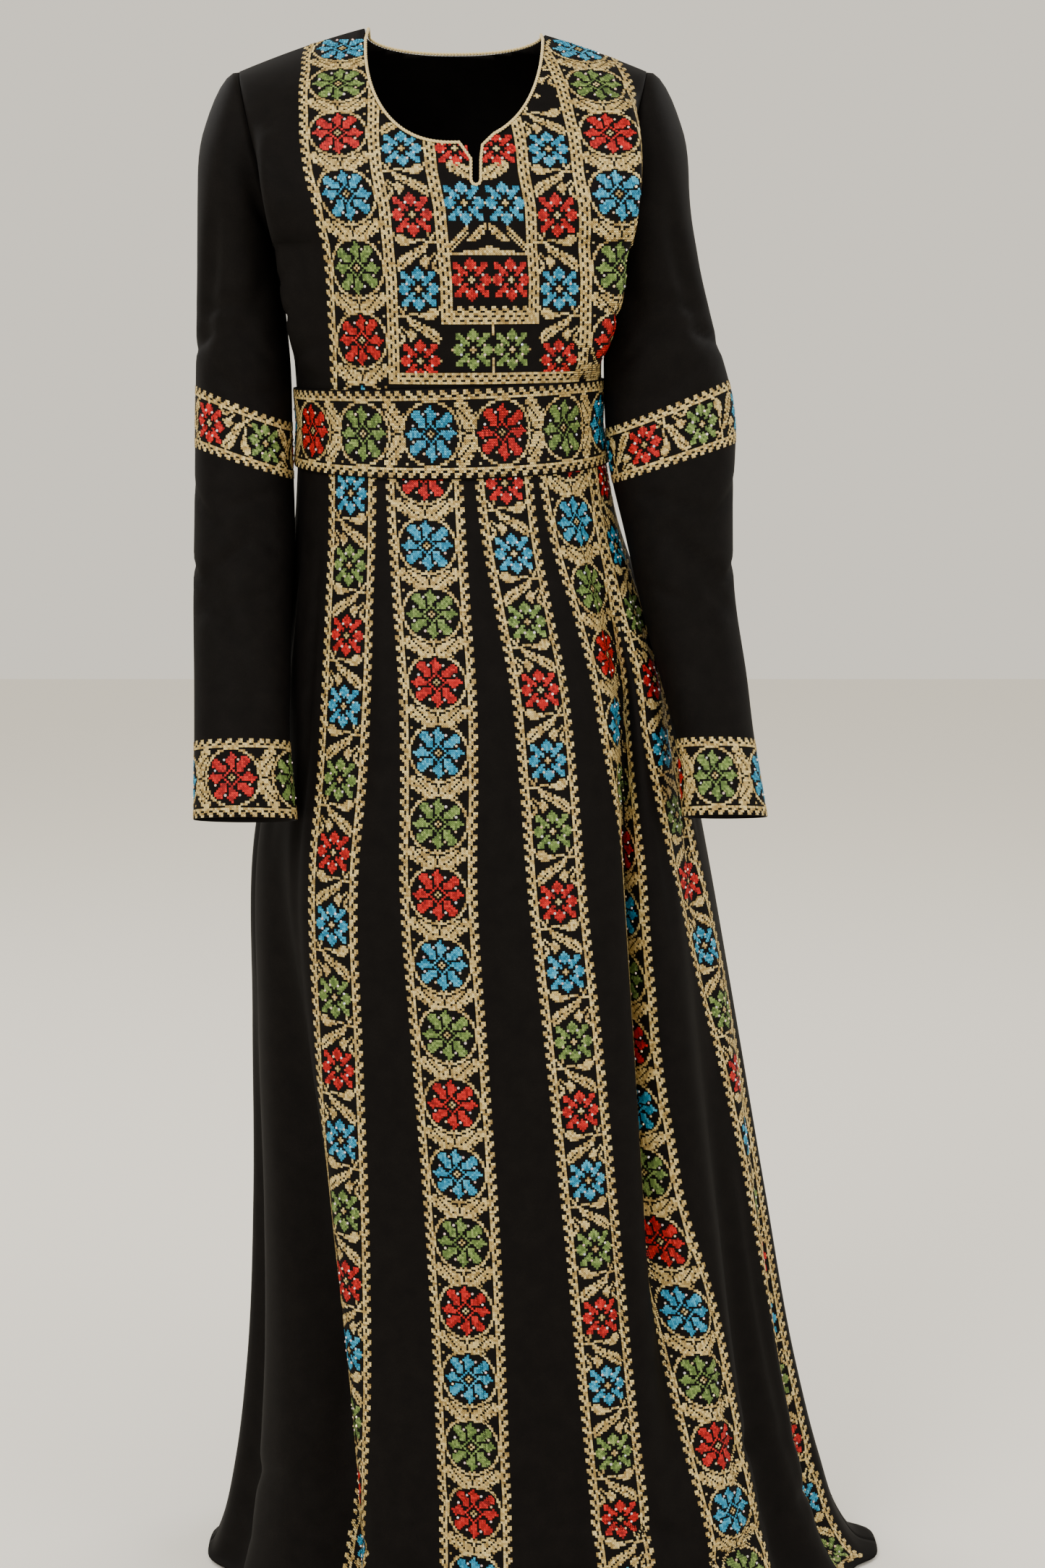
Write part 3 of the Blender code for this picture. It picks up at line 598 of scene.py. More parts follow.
SLEEVE_FOLDS = [
    (18.0, 58.0, 0.06, 0.34, 16.0, 0.0060),
    (100.0, 118.0, 0.10, 0.46, 16.0, 0.0050),
    (-62.0, 10.0, 0.12, 0.30, 18.0, 0.0045),
    (150.0, 196.0, 0.08, 0.40, 18.0, 0.0055),
    (-30.0, 62.0, 0.52, 0.72, 17.0, 0.0045),
    (44.0, -28.0, 0.62, 0.84, 16.0, 0.0040),
    (212.0, 140.0, 0.50, 0.74, 18.0, 0.0050),
]

# %% Creases across the sleeves: turn, share of the length, reach in degrees, half width, slant, depth
SLEEVE_BREAKS = [
    (20.0, 0.235, 34.0, 0.010, 0.0006, 0.0036),
    (-20.0, 0.270, 30.0, 0.009, -0.0007, 0.0034),
    (60.0, 0.300, 32.0, 0.010, 0.0008, 0.0036),
    (-50.0, 0.330, 34.0, 0.009, 0.0005, 0.0034),
    (10.0, 0.345, 30.0, 0.008, -0.0006, 0.0030),
    (-10.0, 0.515, 36.0, 0.010, 0.0008, 0.0038),
    (50.0, 0.545, 32.0, 0.009, -0.0009, 0.0034),
    (-40.0, 0.575, 34.0, 0.010, -0.0006, 0.0036),
    (15.0, 0.610, 36.0, 0.009, 0.0010, 0.0036),
    (70.0, 0.640, 30.0, 0.010, -0.0007, 0.0032),
    (-20.0, 0.665, 34.0, 0.009, 0.0007, 0.0034),
    (35.0, 0.700, 32.0, 0.010, -0.0008, 0.0030),
    (150.0, 0.255, 34.0, 0.010, 0.0007, 0.0034),
    (200.0, 0.310, 34.0, 0.010, -0.0006, 0.0036),
    (170.0, 0.540, 36.0, 0.010, -0.0007, 0.0034),
    (220.0, 0.590, 34.0, 0.009, 0.0008, 0.0036),
    (160.0, 0.650, 34.0, 0.010, 0.0006, 0.0034),
    (250.0, 0.700, 32.0, 0.009, -0.0008, 0.0030),
]
ARMHOLE_EASE = 0.004
SLEEVE_COLUMNS = 64
SLEEVE_ROWS = 110
SIDE = {"right": -1, "left": 1}


def sleeve_rings(which):
    """The table of a sleeve, from the armhole down, with the distance along it."""
    armhole = (ARMHOLE["z"], ARMHOLE["half_height"], ARMHOLE["half_depth"], ARMHOLE["lean"], 0.0)
    start = [(ARMHOLE["x"] + ease, 0.0, *armhole) for ease in (SEAM * 1.5, ARMHOLE_EASE)]
    return with_distance(start + SLEEVE_RINGS[which], [0, 1, 2])


# Degrees to each side of a sleeve's inner line that stay smooth, pressed against the body
SLEEVE_PRESSED = 42.0


def sleeve_surface(which, turn, share):
    """Outer face of a sleeve: turn 0 at the front and 90 at the outer side, share 0 at the armhole."""
    turn, share = np.broadcast_arrays(np.asarray(turn, dtype=float), np.asarray(share, dtype=float))
    rings = sleeve_rings(which)
    row = table_at(rings, share * rings[-1][0])[..., 1:]
    x, y, z, half_width, half_depth, lean, pitch = np.moveaxis(row, -1, 0)
    depth = troughs(SLEEVE_FOLDS, turn, share) + creases_across(SLEEVE_BREAKS, turn, share)
    depth = depth * (1 - np.exp(-((turned(turn + 90.0) / SLEEVE_PRESSED) ** 4)))
    shrink = 1 - depth * 2 / (half_width + half_depth)
    out = half_width * shrink * np.sin(np.radians(turn))
    front = half_depth * shrink * np.cos(np.radians(turn))
    lean, pitch = np.radians(lean), np.radians(pitch)
    points = np.stack((
        SIDE[which] * (x + out * np.cos(lean)),
        y - front * np.cos(pitch),
        z + out * np.sin(lean) + front * np.sin(pitch),
    ), axis=-1)
    return points - LOWER


def sleeve(which):
    """One sleeve as thin cloth."""
    turns = np.linspace(0.0, 360.0, SLEEVE_COLUMNS + 1)[None, :-1]
    if SIDE[which] < 0:
        turns = turns[:, ::-1]
    points = sleeve_surface(which, turns, np.linspace(1.0, 0.0, SLEEVE_ROWS + 1)[:, None])
    return made_plain(thick(grid_object("sleeve_" + which + "_cloth", points, closed=True), CLOTH))


sleeves = {which: sleeve(which) for which in SIDE}
print("sleeves:", [triangles(piece) for piece in sleeves.values()], "triangles")

# %% [markdown]
# ## Belt
#
# The belt is a stiff band, stitched all over its front like the wide band of the skirt, and it covers the waist
# seam. It rises towards the wearer's left and sags a little at the front.

# %% Belt
BELT = {"height": 0.072, "rise": 0.030, "sag": 0.007, "reach": 0.0030}
BELT_COLUMNS = 144
BELT_ROWS = 14


def belt_surface(angle, share):
    """Outer face of the belt: share 0 at its lower edge, 1 at its upper edge."""
    angle, share = np.broadcast_arrays(np.asarray(angle, dtype=float), np.asarray(share, dtype=float))
    x = section_points(table_at(BODICE_SECTIONS, np.full(angle.shape, WAIST)), angle)[..., 0]
    front = np.maximum(np.cos(np.radians(angle)), 0.0)
    height = WAIST + BELT["height"] * (share - 0.5) + BELT["rise"] * x * (2 * share + 1) / 3
    height = height - BELT["sag"] * front * (1 - share)
    ring_downs = np.linspace(0.0, SKIRT_LENGTH / 4, 200)
    ring_heights = table_at(SKIRT_RINGS, ring_downs)[:, 1]
    down = np.interp(-height, -ring_heights, ring_downs)
    above = table_at(BODICE_SECTIONS, np.maximum(height, WAIST))
    below = table_at(SKIRT_RINGS, down)[..., 1:]
    section = np.where((height > WAIST)[..., None], above, below)
    reach = BELT["reach"]
    grown = section + np.array((0, -reach, reach, -reach, reach, 0))
    return section_points(grown, angle) - LOWER


belt_angles = np.linspace(-180.0, 180.0, BELT_COLUMNS + 1)[None, :-1]
belt_grid = belt_surface(belt_angles, np.linspace(0.0, 1.0, BELT_ROWS + 1)[:, None])
belt = made_plain(thick(grid_object("belt_cloth", belt_grid, closed=True), BELT_CLOTH))
print("belt:", triangles(belt), "triangles")

# %% [markdown]
# ## Stitch charts
#
# Cross stitch is worked from a squared chart, one square for each cross. The motifs here are common ones: an
# eight-petalled flower in a ring with a pair of leaves above it, an eight-pointed star with sprigs, a comb-shaped
# edge and a ladder edge. Each is drawn in letters: X is the motif's thread, and a dot is bare cloth. A
# petal is drawn once and turned four times.

# %% Charts of the wide band
PETAL_UP = (-11, -2, ["..X..", ".XX..", "XXXX.", ".XXXX", ".XXXX", ".XXX.", ".XX.."])
PETAL_SLANT = (-9, -8, [".XXX..", "XXXX..", "XXXXX.", ".XXXXX", "..XXXX", "...XXX", "...XXX"])
LEAF = (-21, 1, [
    "..........XX.",
    ".......XX.XXX",
    ".....XXX.XXXX",
    "...XXXX.XX.XX",
    ".XXXXX.XXXXX.",
    "XXXXX.XXX.XX.",
    "XXXX.XXXXX...",
    "XX.XXXX.X....",
    ".XXXXXX......",
    ".XX.X........",
])
COMB = ["XX...", "XXX..", "..XXX", "XXXXX"]
LADDER = ["X.XXX", "X.XXX", "XXX.X", "XXX.X"]
WIDE_HALF = 13
NARROW_HALF = 9
REPEAT = 32


def squares(chart):
    """The stitches of a chart: (row, column) pairs from its first row, first column and its lines."""
    first_row, first_column, lines = chart
    return {(first_row + r, first_column + c) for r, line in enumerate(lines) for c, mark in enumerate(line)
            if mark == "X"}


def quarter_turns(cells):
    """The stitches with their three quarter turns."""
    found, now = set(cells), set(cells)
    for _ in range(3):
        now = {(column, -row) for row, column in now}
        found |= now
    return found


def mirrored(cells):
    """The stitches, left for right."""
    return {(row, -column) for row, column in cells}


FLOWER = quarter_turns(squares(PETAL_UP) | squares(PETAL_SLANT))
FLOWER |= {(r, c) for r in range(-4, 5) for c in range(-4, 5) if abs(r) + abs(c) == 4}
RING = {(r, c) for r in range(-14, 15) for c in range(-13, 14) if abs(math.hypot(r, c) - 13) < 0.55}
LEAVES = squares(LEAF) | mirrored(squares(LEAF))
THORNS = {(-11, -12), (12, -8), (-12, 8), (12, 11)}
STEM = {(-19, 0), (-18, 0), (-17, 0), (-20, -1), (-20, 1)}
WIDE_GOLD = RING | LEAVES | THORNS | STEM | {(0, 1), (0, -1), (1, 0), (-1, 0)}
print("wide motif:", len(FLOWER), "stitches in colour and", len(WIDE_GOLD), "in gold")

# %% Charts of the narrow band
STAR_UP = (-9, -2, ["..X..", ".XXX.", "XXXXX", "XXXXX", ".XXX.", "..X.."])
STAR_SLANT = (-7, 2, ["...XXX", "...XXX", ".XXXX.", "XXXX..", ".XX...", "XX...."])
SPRIG = (8, -9, [
    "X..X..............X",
    ".X.X..........XXX.X",
    ".XX..........XXXXX.",
    "..X..XXXX.XXXXXXXX.",
    "XXXXX....XXXXXXXX..",
    "....XX......XXXX...",
    "....XXXX...........",
    ".....XX.XX.........",
    ".....XXXXX.X.......",
    ".X.....X.XXXXX.....",
    "X.X..X..XX.XXXXX...",
    "X..XXXX...XXX.XXX..",
    ".X..XXXX...XXX.XXX.",
    ".XX.XXXX....XXX.XX.",
    "..X..XX.......XX.XX",
    ".XX..X.........XXX.",
    "XX...............X.",
    "X..................",
])
STAR = quarter_turns(squares(STAR_UP) | squares(STAR_SLANT)) - {(0, 9), (0, -9)}
STAR_GOLD = {(0, 0), (0, 1), (0, -1), (1, 0), (-1, 0), (0, 9), (0, -9)}
SPRIGS = squares(SPRIG)
print("narrow motif:", len(STAR), "stitches in colour and", len(STAR_GOLD | SPRIGS), "in gold")

# %% [markdown]
# Stones sit in the gaps between the petals. On the real dress they are glued, so they are a little uneven.

# %% Whole bands, as charts of (row, column): thread
FLOWER_STONES = [(8.6 * math.cos(math.radians(a)), 8.6 * math.sin(math.radians(a))) for a in range(22, 360, 45)]
STAR_STONES = [(5.6 * math.cos(math.radians(a)), 5.6 * math.sin(math.radians(a))) for a in range(22, 360, 45)]


def comb_and_line(chart, rows, inner):
    """The comb-shaped edge of a band on both sides, its solid line next to the inside."""
    for row in range(*rows):
        for out in range(4):
            if COMB[3 - out][row % 5] == "X":
                chart[(row, inner + 1 + out)] = "gold"
                chart[(row, -inner - 1 - out)] = "gold"


def band(rows, first_centre, colours, wide, edges=True):
    """A whole band and its stones: motifs every 32 rows from the first centre, in the colours in turn."""
    chart, stones = {}, []
    inner = WIDE_HALF if wide else NARROW_HALF
    count = 0
    for centre in range(first_centre, rows[1] + REPEAT, REPEAT):
        colour = colours[count % len(colours)]
        flip = -1 if count % 2 else 1
        gold = WIDE_GOLD if wide else STAR_GOLD | {(r, flip * c) for r, c in SPRIGS}
        for r, c in gold:
            chart[(centre + r, c)] = "gold"
        for r, c in FLOWER if wide else STAR:
            chart[(centre + r, c)] = colour
        stones += [(centre + r, c) for r, c in (FLOWER_STONES if wide else STAR_STONES)]
        count += 1
    chart = {(r, c): thread for (r, c), thread in chart.items() if rows[0] <= r < rows[1] and abs(c) <= inner}
    stones = [(r, c) for r, c in stones if rows[0] < r < rows[1]]
    if edges:
        comb_and_line(chart, rows, inner)
    return chart, stones


print("one repeat of the wide band:", len(band((0, 32), 16, ["red"], True)[0]), "stitches")

# %% [markdown]
# ## Places for the stitches
#
# A stitch keeps its size when the cloth is folded, so the charts are laid out along the cloth itself: for each
# row the outline of the piece is measured, and the columns are spaced evenly along it, over the folds.

# %% From chart to cloth
SLOPE_STEP = 0.0006


def spaced(surface, angles, places, middles, columns, pitch):
    """Angles of the columns for each row: even steps along the cloth from the row's middle angle."""
    points = surface(angles[None, :], places[:, None])
    steps = np.linalg.norm(np.diff(points, axis=1), axis=-1)
    along = np.concatenate((np.zeros((len(places), 1)), np.cumsum(steps, axis=1)), axis=1)
    found = np.empty((len(places), len(columns)))
    for i, middle in enumerate(middles):
        start = np.interp(middle, angles, along[i])
        found[i] = np.interp(start + columns * pitch, along[i], angles)
    return found


def framed(surface, angle, place, angle_step, place_step):
    """Points on a surface with their outward direction and the direction of the stitch row."""
    point = surface(angle, place)
    across = surface(angle + angle_step, place) - surface(angle - angle_step, place)
    upward = surface(angle, place + place_step) - surface(angle, place - place_step)
    across /= np.linalg.norm(across, axis=-1, keepdims=True)
    out = np.cross(across, upward)
    out /= np.linalg.norm(out, axis=-1, keepdims=True)
    return point, out, across


class Work:
    """Stitches and stones gathered for a region: point, outward direction, row direction and size."""

    def __init__(self):
        self.threads = {"gold": [], "red": [], "blue": [], "green": []}
        self.stones = []

    def add(self, chart, stones, lay, size):
        """Lays a chart out with a function from rows and columns to points and directions."""
        for thread, kept in self.threads.items():
            cells = np.array([cell for cell, name in chart.items() if name == thread], dtype=float)
            if len(cells):
                kept.append(self.laid(cells, lay, size))
        if stones:
            self.stones.append(self.laid(np.array(stones, dtype=float), lay, size))

    @staticmethod
    def laid(cells, lay, size):
        point, out, across, good = lay(cells[:, 0], cells[:, 1])
        sizes = np.full((len(point), 1), size)
        return np.concatenate((point, out, across, sizes), axis=1)[good]


print("stitches are placed from", SLOPE_STEP * 1000, "mm steps of the surface")

# %% [markdown]
# ## Bands of the skirt
#
# Five bands run down the front, narrow and wide in turn. They fan out with the flare of the skirt, and the deep
# folds swallow parts of them.

# %% Skirt bands
SKIRT_BANDS = [
    {"wide": False, "colours": ["blue", "green", "red"], "first": 28, "pitch": 1.044, "eased": 0.0,
     "middles": [(1.109, -38.0), (0.0, -37.0)]},
    {"wide": True, "colours": ["red", "blue", "green"], "first": 20, "pitch": 1.0, "eased": 0.0,
     "middles": [(1.109, -9.0), (0.0, -10.0)]},
    {"wide": False, "colours": ["red", "blue", "green"], "first": 24, "pitch": 1.0, "eased": 0.0,
     "middles": [(1.109, 20.0), (0.0, 18.0)]},
    {"wide": True, "colours": ["red", "blue", "green"], "first": 11, "pitch": 1.0, "eased": 0.025,
     "middles": [(1.109, 48.5), (0.95, 47.5), (0.853, 45.0), (0.72, 43.0), (0.625, 41.2), (0.42, 40.0),
                 (0.2, 42.0), (0.0, 43.0)]},
    {"wide": False, "colours": ["red", "blue", "green"], "first": 25, "pitch": 1.0, "eased": 0.0,
     "middles": [(1.109, 80.0), (0.95, 67.0), (0.84, 62.0), (0.715, 64.6), (0.655, 68.0), (0.595, 71.0),
                 (0.54, 74.0), (0.425, 77.0), (0.2, 79.0), (0.0, 79.0)]},
]
EASED_ROWS = (139, 363)
BAND_START = 0.026
SKIRT_STITCH_ROWS = int((SKIRT_LENGTH - 0.012) / STITCH)
RING_ANGLES = np.linspace(-96.0, 96.0, 700)


def skirt_front_surface(angle, down):
    """The skirt's front, where its cloth lies."""
    return skirt_surface(angle, down) - np.array((0, SEAM / 2, 0))


def upwards(angle, up):
    """The same, with the second coordinate running upwards."""
    return skirt_front_surface(angle, -up)


def skirt_layout(strip, half):
    """A function that lays a band of the skirt out along its middle line. Rows in the tuck lie a little closer."""
    rows = np.arange(0, SKIRT_STITCH_ROWS + 1)
    places = rows * STITCH * strip["pitch"] - strip["eased"] * np.interp(rows, EASED_ROWS, (0.0, 1.0))
    places = np.minimum(places, SKIRT_LENGTH - 0.001)
    levels, angles_there = zip(*reversed(strip["middles"]))
    middles = np.interp(table_at(SKIRT_RINGS, places)[..., 1], levels, angles_there)
    columns = np.arange(-half, half + 1)
    angles = spaced(skirt_front_surface, RING_ANGLES, places, middles, columns, STITCH)

    def lay(row, column):
        low = np.clip(np.floor(row).astype(int), 0, len(rows) - 2)
        left = np.clip(np.floor(column + half).astype(int), 0, len(columns) - 2)
        f, g = row - low, column + half - left
        upper = angles[low, left] * (1 - g) + angles[low, left + 1] * g
        lower = angles[low + 1, left] * (1 - g) + angles[low + 1, left + 1] * g
        angle = upper * (1 - f) + lower * f
        place = places[low] + (places[low + 1] - places[low]) * f
        point, out, across = framed(upwards, angle, -place, 0.1, SLOPE_STEP)
        return point, out, across, (np.abs(angle) < 89.6) & (place < SKIRT_LENGTH - 0.008)

    return lay


works = {"skirt_right": Work(), "skirt_left": Work(), "bodice": Work(), "belt": Work(), "sleeves": Work()}
for number, strip in enumerate(SKIRT_BANDS):
    half = (WIDE_HALF if strip["wide"] else NARROW_HALF) + 4
    rows = (int(BAND_START / STITCH), SKIRT_STITCH_ROWS)
    chart, stones = band(rows, strip["first"], strip["colours"], strip["wide"])
    region = works["skirt_right" if number < 2 else "skirt_left"]
    region.add(chart, stones, skirt_layout(strip, half), STITCH)
    print("band", number + 1, "has", len(chart), "stitches")

# %% [markdown]
# ## Belt and sleeve bands
#
# Round a tube the number of motifs has to come out whole, so the stitches are drawn out or pushed together by a
# few hundredths, as an embroiderer does it.

# %% Belt and sleeve bands
BELT_MOTIFS = 12
BELT_FIRST = -5.5
SLEEVE_BANDS = [
    {"which": "right", "wide": False, "middle": 1.100, "turn": -31.0,
     "colours": ["green", "red", "blue", "green", "red"]},
    {"which": "left", "wide": False, "middle": 1.100, "turn": -27.0,
     "colours": ["red", "green", "blue", "red", "green", "blue"]},
    {"which": "right", "wide": True, "middle": None, "turn": 9.0, "colours": ["red", "blue", "green", "green"]},
    {"which": "left", "wide": True, "middle": None, "turn": -11.0, "colours": ["green", "blue", "green", "red"]},
]


def round_layout(surface, start, length, motifs, half, direction, step, turn=0.0):
    """Lays a band out round a tube: rows run round it from a turn, and columns along it."""
    places = start + np.arange(-half, half + 1) * length
    angles = np.linspace(-190.0, 550.0, 1500)
    points = surface(angles[None, :], places[:, None])
    steps = np.linalg.norm(np.diff(points, axis=1), axis=-1)
    along = np.concatenate((np.zeros((len(places), 1)), np.cumsum(steps, axis=1)), axis=1)
    once = np.array([np.interp(360.0, angles, row) - np.interp(0.0, angles, row) for row in along])
    zero = np.array([np.interp(turn, angles, row) for row in along])

    def lay(row, column):
        at = np.clip(column + half, 0, len(places) - 1)
        low = np.minimum(np.floor(at).astype(int), len(places) - 2)
        f = at - low
        share = row / (motifs * REPEAT)
        found = [np.array([np.interp(zero[k] + s * once[k], along[k], angles) for k, s in zip(low + more, share)])
                 for more in (0, 1)]
        angle = found[0] * (1 - f) + found[1] * f
        place = start + column * length
        point, out, across = framed(surface, angle, place, 0.1, step)
        return point, out * direction, across, np.ones(len(row), dtype=bool)

    return lay


def turned_belt(angle, share):
    """The belt, with its angles counted from the first motif's middle."""
    return belt_surface(angle + BELT_FIRST, share)


belt_rows = (-REPEAT // 2, REPEAT * BELT_MOTIFS - REPEAT // 2)
chart, stones = band(belt_rows, -REPEAT, ["green", "blue", "red"], True)
half = WIDE_HALF + 4
works["belt"].add(
    chart, stones,
    round_layout(turned_belt, 0.5, 1 / (2 * half + 2), BELT_MOTIFS, half, 1, 0.002), STITCH,
)
for strip in SLEEVE_BANDS:
    rings = sleeve_rings(strip["which"])
    half = (WIDE_HALF if strip["wide"] else NARROW_HALF) + 4
    if strip["middle"] is None:
        start = 1 - (half + 0.7) * STITCH / rings[-1][0]
    else:
        start = float(np.interp(-strip["middle"], -rings[:, 3], rings[:, 0] / rings[-1][0]))
    motifs = len(strip["colours"])
    rows = (-REPEAT // 2, REPEAT * motifs - REPEAT // 2)
    chart, stones = band(rows, -REPEAT, strip["colours"][-1:] + strip["colours"][:-1], strip["wide"])

    def tube(turn, up, which=strip["which"]):
        """The sleeve with its second coordinate running upwards."""
        return sleeve_surface(which, turn, -up)

    lay = round_layout(tube, -start, STITCH / rings[-1][0], motifs, half, SIDE[strip["which"]], 0.001, strip["turn"])
    works["sleeves"].add(chart, stones, lay, STITCH)
print("belt and sleeves:", sum(len(p) for w in ("belt", "sleeves") for t in works[w].threads.values() for p in t))

# %% [markdown]
# ## Chest panel
#
# The panel covers the front of the bodice: a wide band at each side, a column of stars inside it, and between them
# a frame in the shape of a U below the slit, with pairs of stars. Ladders part the columns. It is one chart of 155
# columns. Row 0 is level with the green flowers at the side.

# %% Chart of the chest panel
PANEL_ROWS = (-136, 68)
TOP_STAR = -71
CHEVRON_ROWS = [
    "........XX........",
    "......XXXXXX......",
    ".....XX.XX.XX.....",
    "....XXXX..XXXX....",
    "...XX.XX..XX.XX...",
    "..XXXX......XXXX..",
    ".XX.XX......XX.XX.",
    "XXXX..........XXXX",
]
panel, panel_stones = {}, []


def stamp(cells, row, column, thread, flip=1):
    """Works a motif into the panel."""
    for r, c in cells:
        panel[(row + r, column + flip * c)] = thread


for side in (-1, 1):
    strip, stones = band(PANEL_ROWS, -128, ["blue", "green", "red"], True, edges=False)
    for (r, c), thread in strip.items():
        panel[(r, side * 60 + side * c)] = thread
    panel_stones += [(r, side * 60 + side * c) for r, c in stones]
    strip, stones = band((-136, 47), -119, ["blue", "red"], False, edges=False)
    for (r, c), thread in strip.items():
        if r > TOP_STAR or thread == "gold":
            panel[(r, side * 32 - side * c)] = thread
    panel_stones += [(r, side * 32 - side * c) for r, c in stones if r > TOP_STAR]
    for row in range(*PANEL_ROWS):
        for out in range(4):
            if COMB[3 - out][row % 5] == "X":
                panel[(row, side * (74 + out))] = "gold"
        for out in range(5):
            if LADDER[row % 4][out] == "X" and row <= 52:
                panel[(row, side * (42 + out))] = "gold"
            if LADDER[row % 4][out] == "X" and row <= 24:
                panel[(row, side * (18 + out))] = "gold"
print("sides of the panel:", len(panel), "stitches")

# %% Middle of the chest panel
STAR_PAIRS = [(-55, "red"), (-28, "blue"), (5, "red"), (36, "green")]
for row, thread in STAR_PAIRS:
    for side in (-1, 1):
        stamp(STAR, row, side * 9, thread)
        stamp(STAR_GOLD, row, side * 9, "gold")
        panel_stones += [(row + r, side * 9 + c) for r, c in STAR_STONES]
for r, line in enumerate(CHEVRON_ROWS):
    for c, mark in enumerate(line):
        if mark == "X":
            panel[(-19 + r, 2 * c // 2 - 9 + (c > 8))] = "gold"
stamp(LEAVES, -27, 0, "gold")
for column in range(-17, 18):
    panel[(-6, column)] = "gold"
    if abs(column) < 12:
        panel[(-7, column)] = "gold"
    if abs(column) < 5:
        panel[(-8, column)] = "gold"
    if abs(column) < 2:
        panel[(-9, column)] = "gold"
for side in (-1, 1):
    for step in range(9):
        panel[(-18 + step, side * (9 + step))] = "gold"
        panel[(-17 + step, side * (9 + step))] = "gold"
        panel[(-15 + step, side * (9 + step))] = "gold"
for column in range(-22, 23):
    for out in range(5):
        if LADDER[column % 4][out] == "X":
            panel[(20 + out, column)] = "gold"
    for out in range(3):
        if COMB[out][column % 5] == "X" and abs(column) < 18:
            panel[(17 + out, column)] = "gold"
for column in range(-46, 47):
    for out in range(5):
        if LADDER[column % 4][out] == "X":
            panel[(47 + out, column)] = "gold"
for row in list(range(25, 30)) + list(range(40, 47)):
    panel[(row, 0)] = "gold"
panel = {cell: thread for cell, thread in panel.items() if cell[0] < 52 or abs(cell[1]) > 46}
print("whole panel:", len(panel), "stitches")

# %% [markdown]
# The panel is laid on the real faces of the bodice: rays run in towards the body's middle at the height of each
# row, and a stitch stays where its ray meets cloth. So the neck opening cuts the panel off by itself.

# %% Panel on the bodice
PANEL_LEVEL = 1.2486
PANEL_MIDDLE = [(1.110, 0.0457), (1.180, 0.0457), (1.238, 0.0447), (1.300, 0.0395), (1.330, 0.0330), (1.420, 0.0225), (1.455, 0.0150)]
PANEL_STRETCH = [(1.380, 1.0), (1.420, 1.03), (1.455, 1.13)]
PANEL_CLOSER_ABOVE = -34
PANEL_CLOSER = 0.84
PROFILE_X = -0.095
RAY_REACH = 0.40
RAY_ANGLES = np.linspace(-89.0, 89.0, 500)
front_tree = BVHTree.FromPolygons(
    [v.co for v in bodice_front.data.vertices], [tuple(face.vertices) for face in bodice_front.data.polygons]
)


def inward_hit(angle, height):
    """Where a ray from the front half of the room meets the bodice's front, and that face's direction."""
    turn = math.radians(angle)
    way = Vector((math.sin(turn), -math.cos(turn), 0.0))
    start = Vector((0.0, 0.0, height - CARRY_HEIGHT)) + way * RAY_REACH
    return front_tree.ray_cast(start, -way, RAY_REACH)


def panel_heights():
    """The height of each row of the panel, 2 mm apart along the cloth."""
    heights = np.linspace(1.110, 1.455, 400)
    hits = [front_tree.ray_cast(Vector((PROFILE_X, -1.0, h - CARRY_HEIGHT)), Vector((0, 1, 0)))[0] for h in heights]
    depths = np.array([hit.y if hit else 0.0 for hit in hits])
    kept = np.array([hit is not None for hit in hits])
    heights, depths = heights[kept], depths[kept]
    along = np.concatenate(([0.0], np.cumsum(np.hypot(np.diff(heights), np.diff(depths)))))
    level = np.interp(PANEL_LEVEL, heights, along)
    rows = np.arange(*PANEL_ROWS)
    places = level - STITCH * (np.maximum(rows, PANEL_CLOSER_ABOVE)
                               + PANEL_CLOSER * np.minimum(rows - PANEL_CLOSER_ABOVE, 0))
    return {int(row): float(np.interp(place, along, heights)) for row, place in zip(rows, places)
            if 0 < place < along[-1]}


def panel_angles(height, columns):
    """Angles of the rays for the panel's columns at a height: even steps along the cloth."""
    radii = np.array([(hit.xy.length if hit else np.nan) for hit in (inward_hit(a, height)[0] for a in RAY_ANGLES)])
    good = ~np.isnan(radii)
    if good.sum() < 20:
        return None
    radii = np.interp(RAY_ANGLES, RAY_ANGLES[good], radii[good])
    x, y = radii * np.sin(np.radians(RAY_ANGLES)), -radii * np.cos(np.radians(RAY_ANGLES))
    along = np.concatenate(([0.0], np.cumsum(np.hypot(np.diff(x), np.diff(y)))))
    levels, middles = zip(*PANEL_MIDDLE)
    start = np.interp(np.interp(height, levels, middles), x, along)
    wanted = start + columns * STITCH * np.interp(height, *zip(*PANEL_STRETCH))
    angles = np.interp(wanted, along, RAY_ANGLES)
    angles[(wanted < 0) | (wanted > along[-1])] = np.nan
    return angles


heights = panel_heights()
all_columns = np.arange(-78, 79)
panel_rays = {row: panel_angles(height, all_columns) for row, height in heights.items()}


def panel_lay(rows, columns):
    """Lays panel stitches on the bodice, and drops those that fall beside it."""
    found, good = [], []
    for row, column in zip(rows, columns):
        low = int(math.floor(row))
        angles = panel_rays.get(low)
        hit = None
        if angles is not None and low + 1 in heights:
            angle = np.interp(column, all_columns, angles)
            height = heights[low] + (heights[low + 1] - heights[low]) * (row - low)
            if not np.isnan(angle):
                hit = inward_hit(angle, height)
        if hit is None or hit[0] is None:
            found.append(np.zeros(9))
            good.append(False)
            continue
        point, out = hit[0], hit[1]
        across = Vector((0, 0, 1)).cross(out).normalized()
        found.append(np.array((*point, *out, *across)))
        good.append(True)
    found = np.array(found)
    return found[:, :3], found[:, 3:6], found[:, 6:], np.array(good)


works["bodice"].add(panel, panel_stones, panel_lay, STITCH)
print("panel on the cloth:", sum(len(p) for t in works["bodice"].threads.values() for p in t), "stitches")

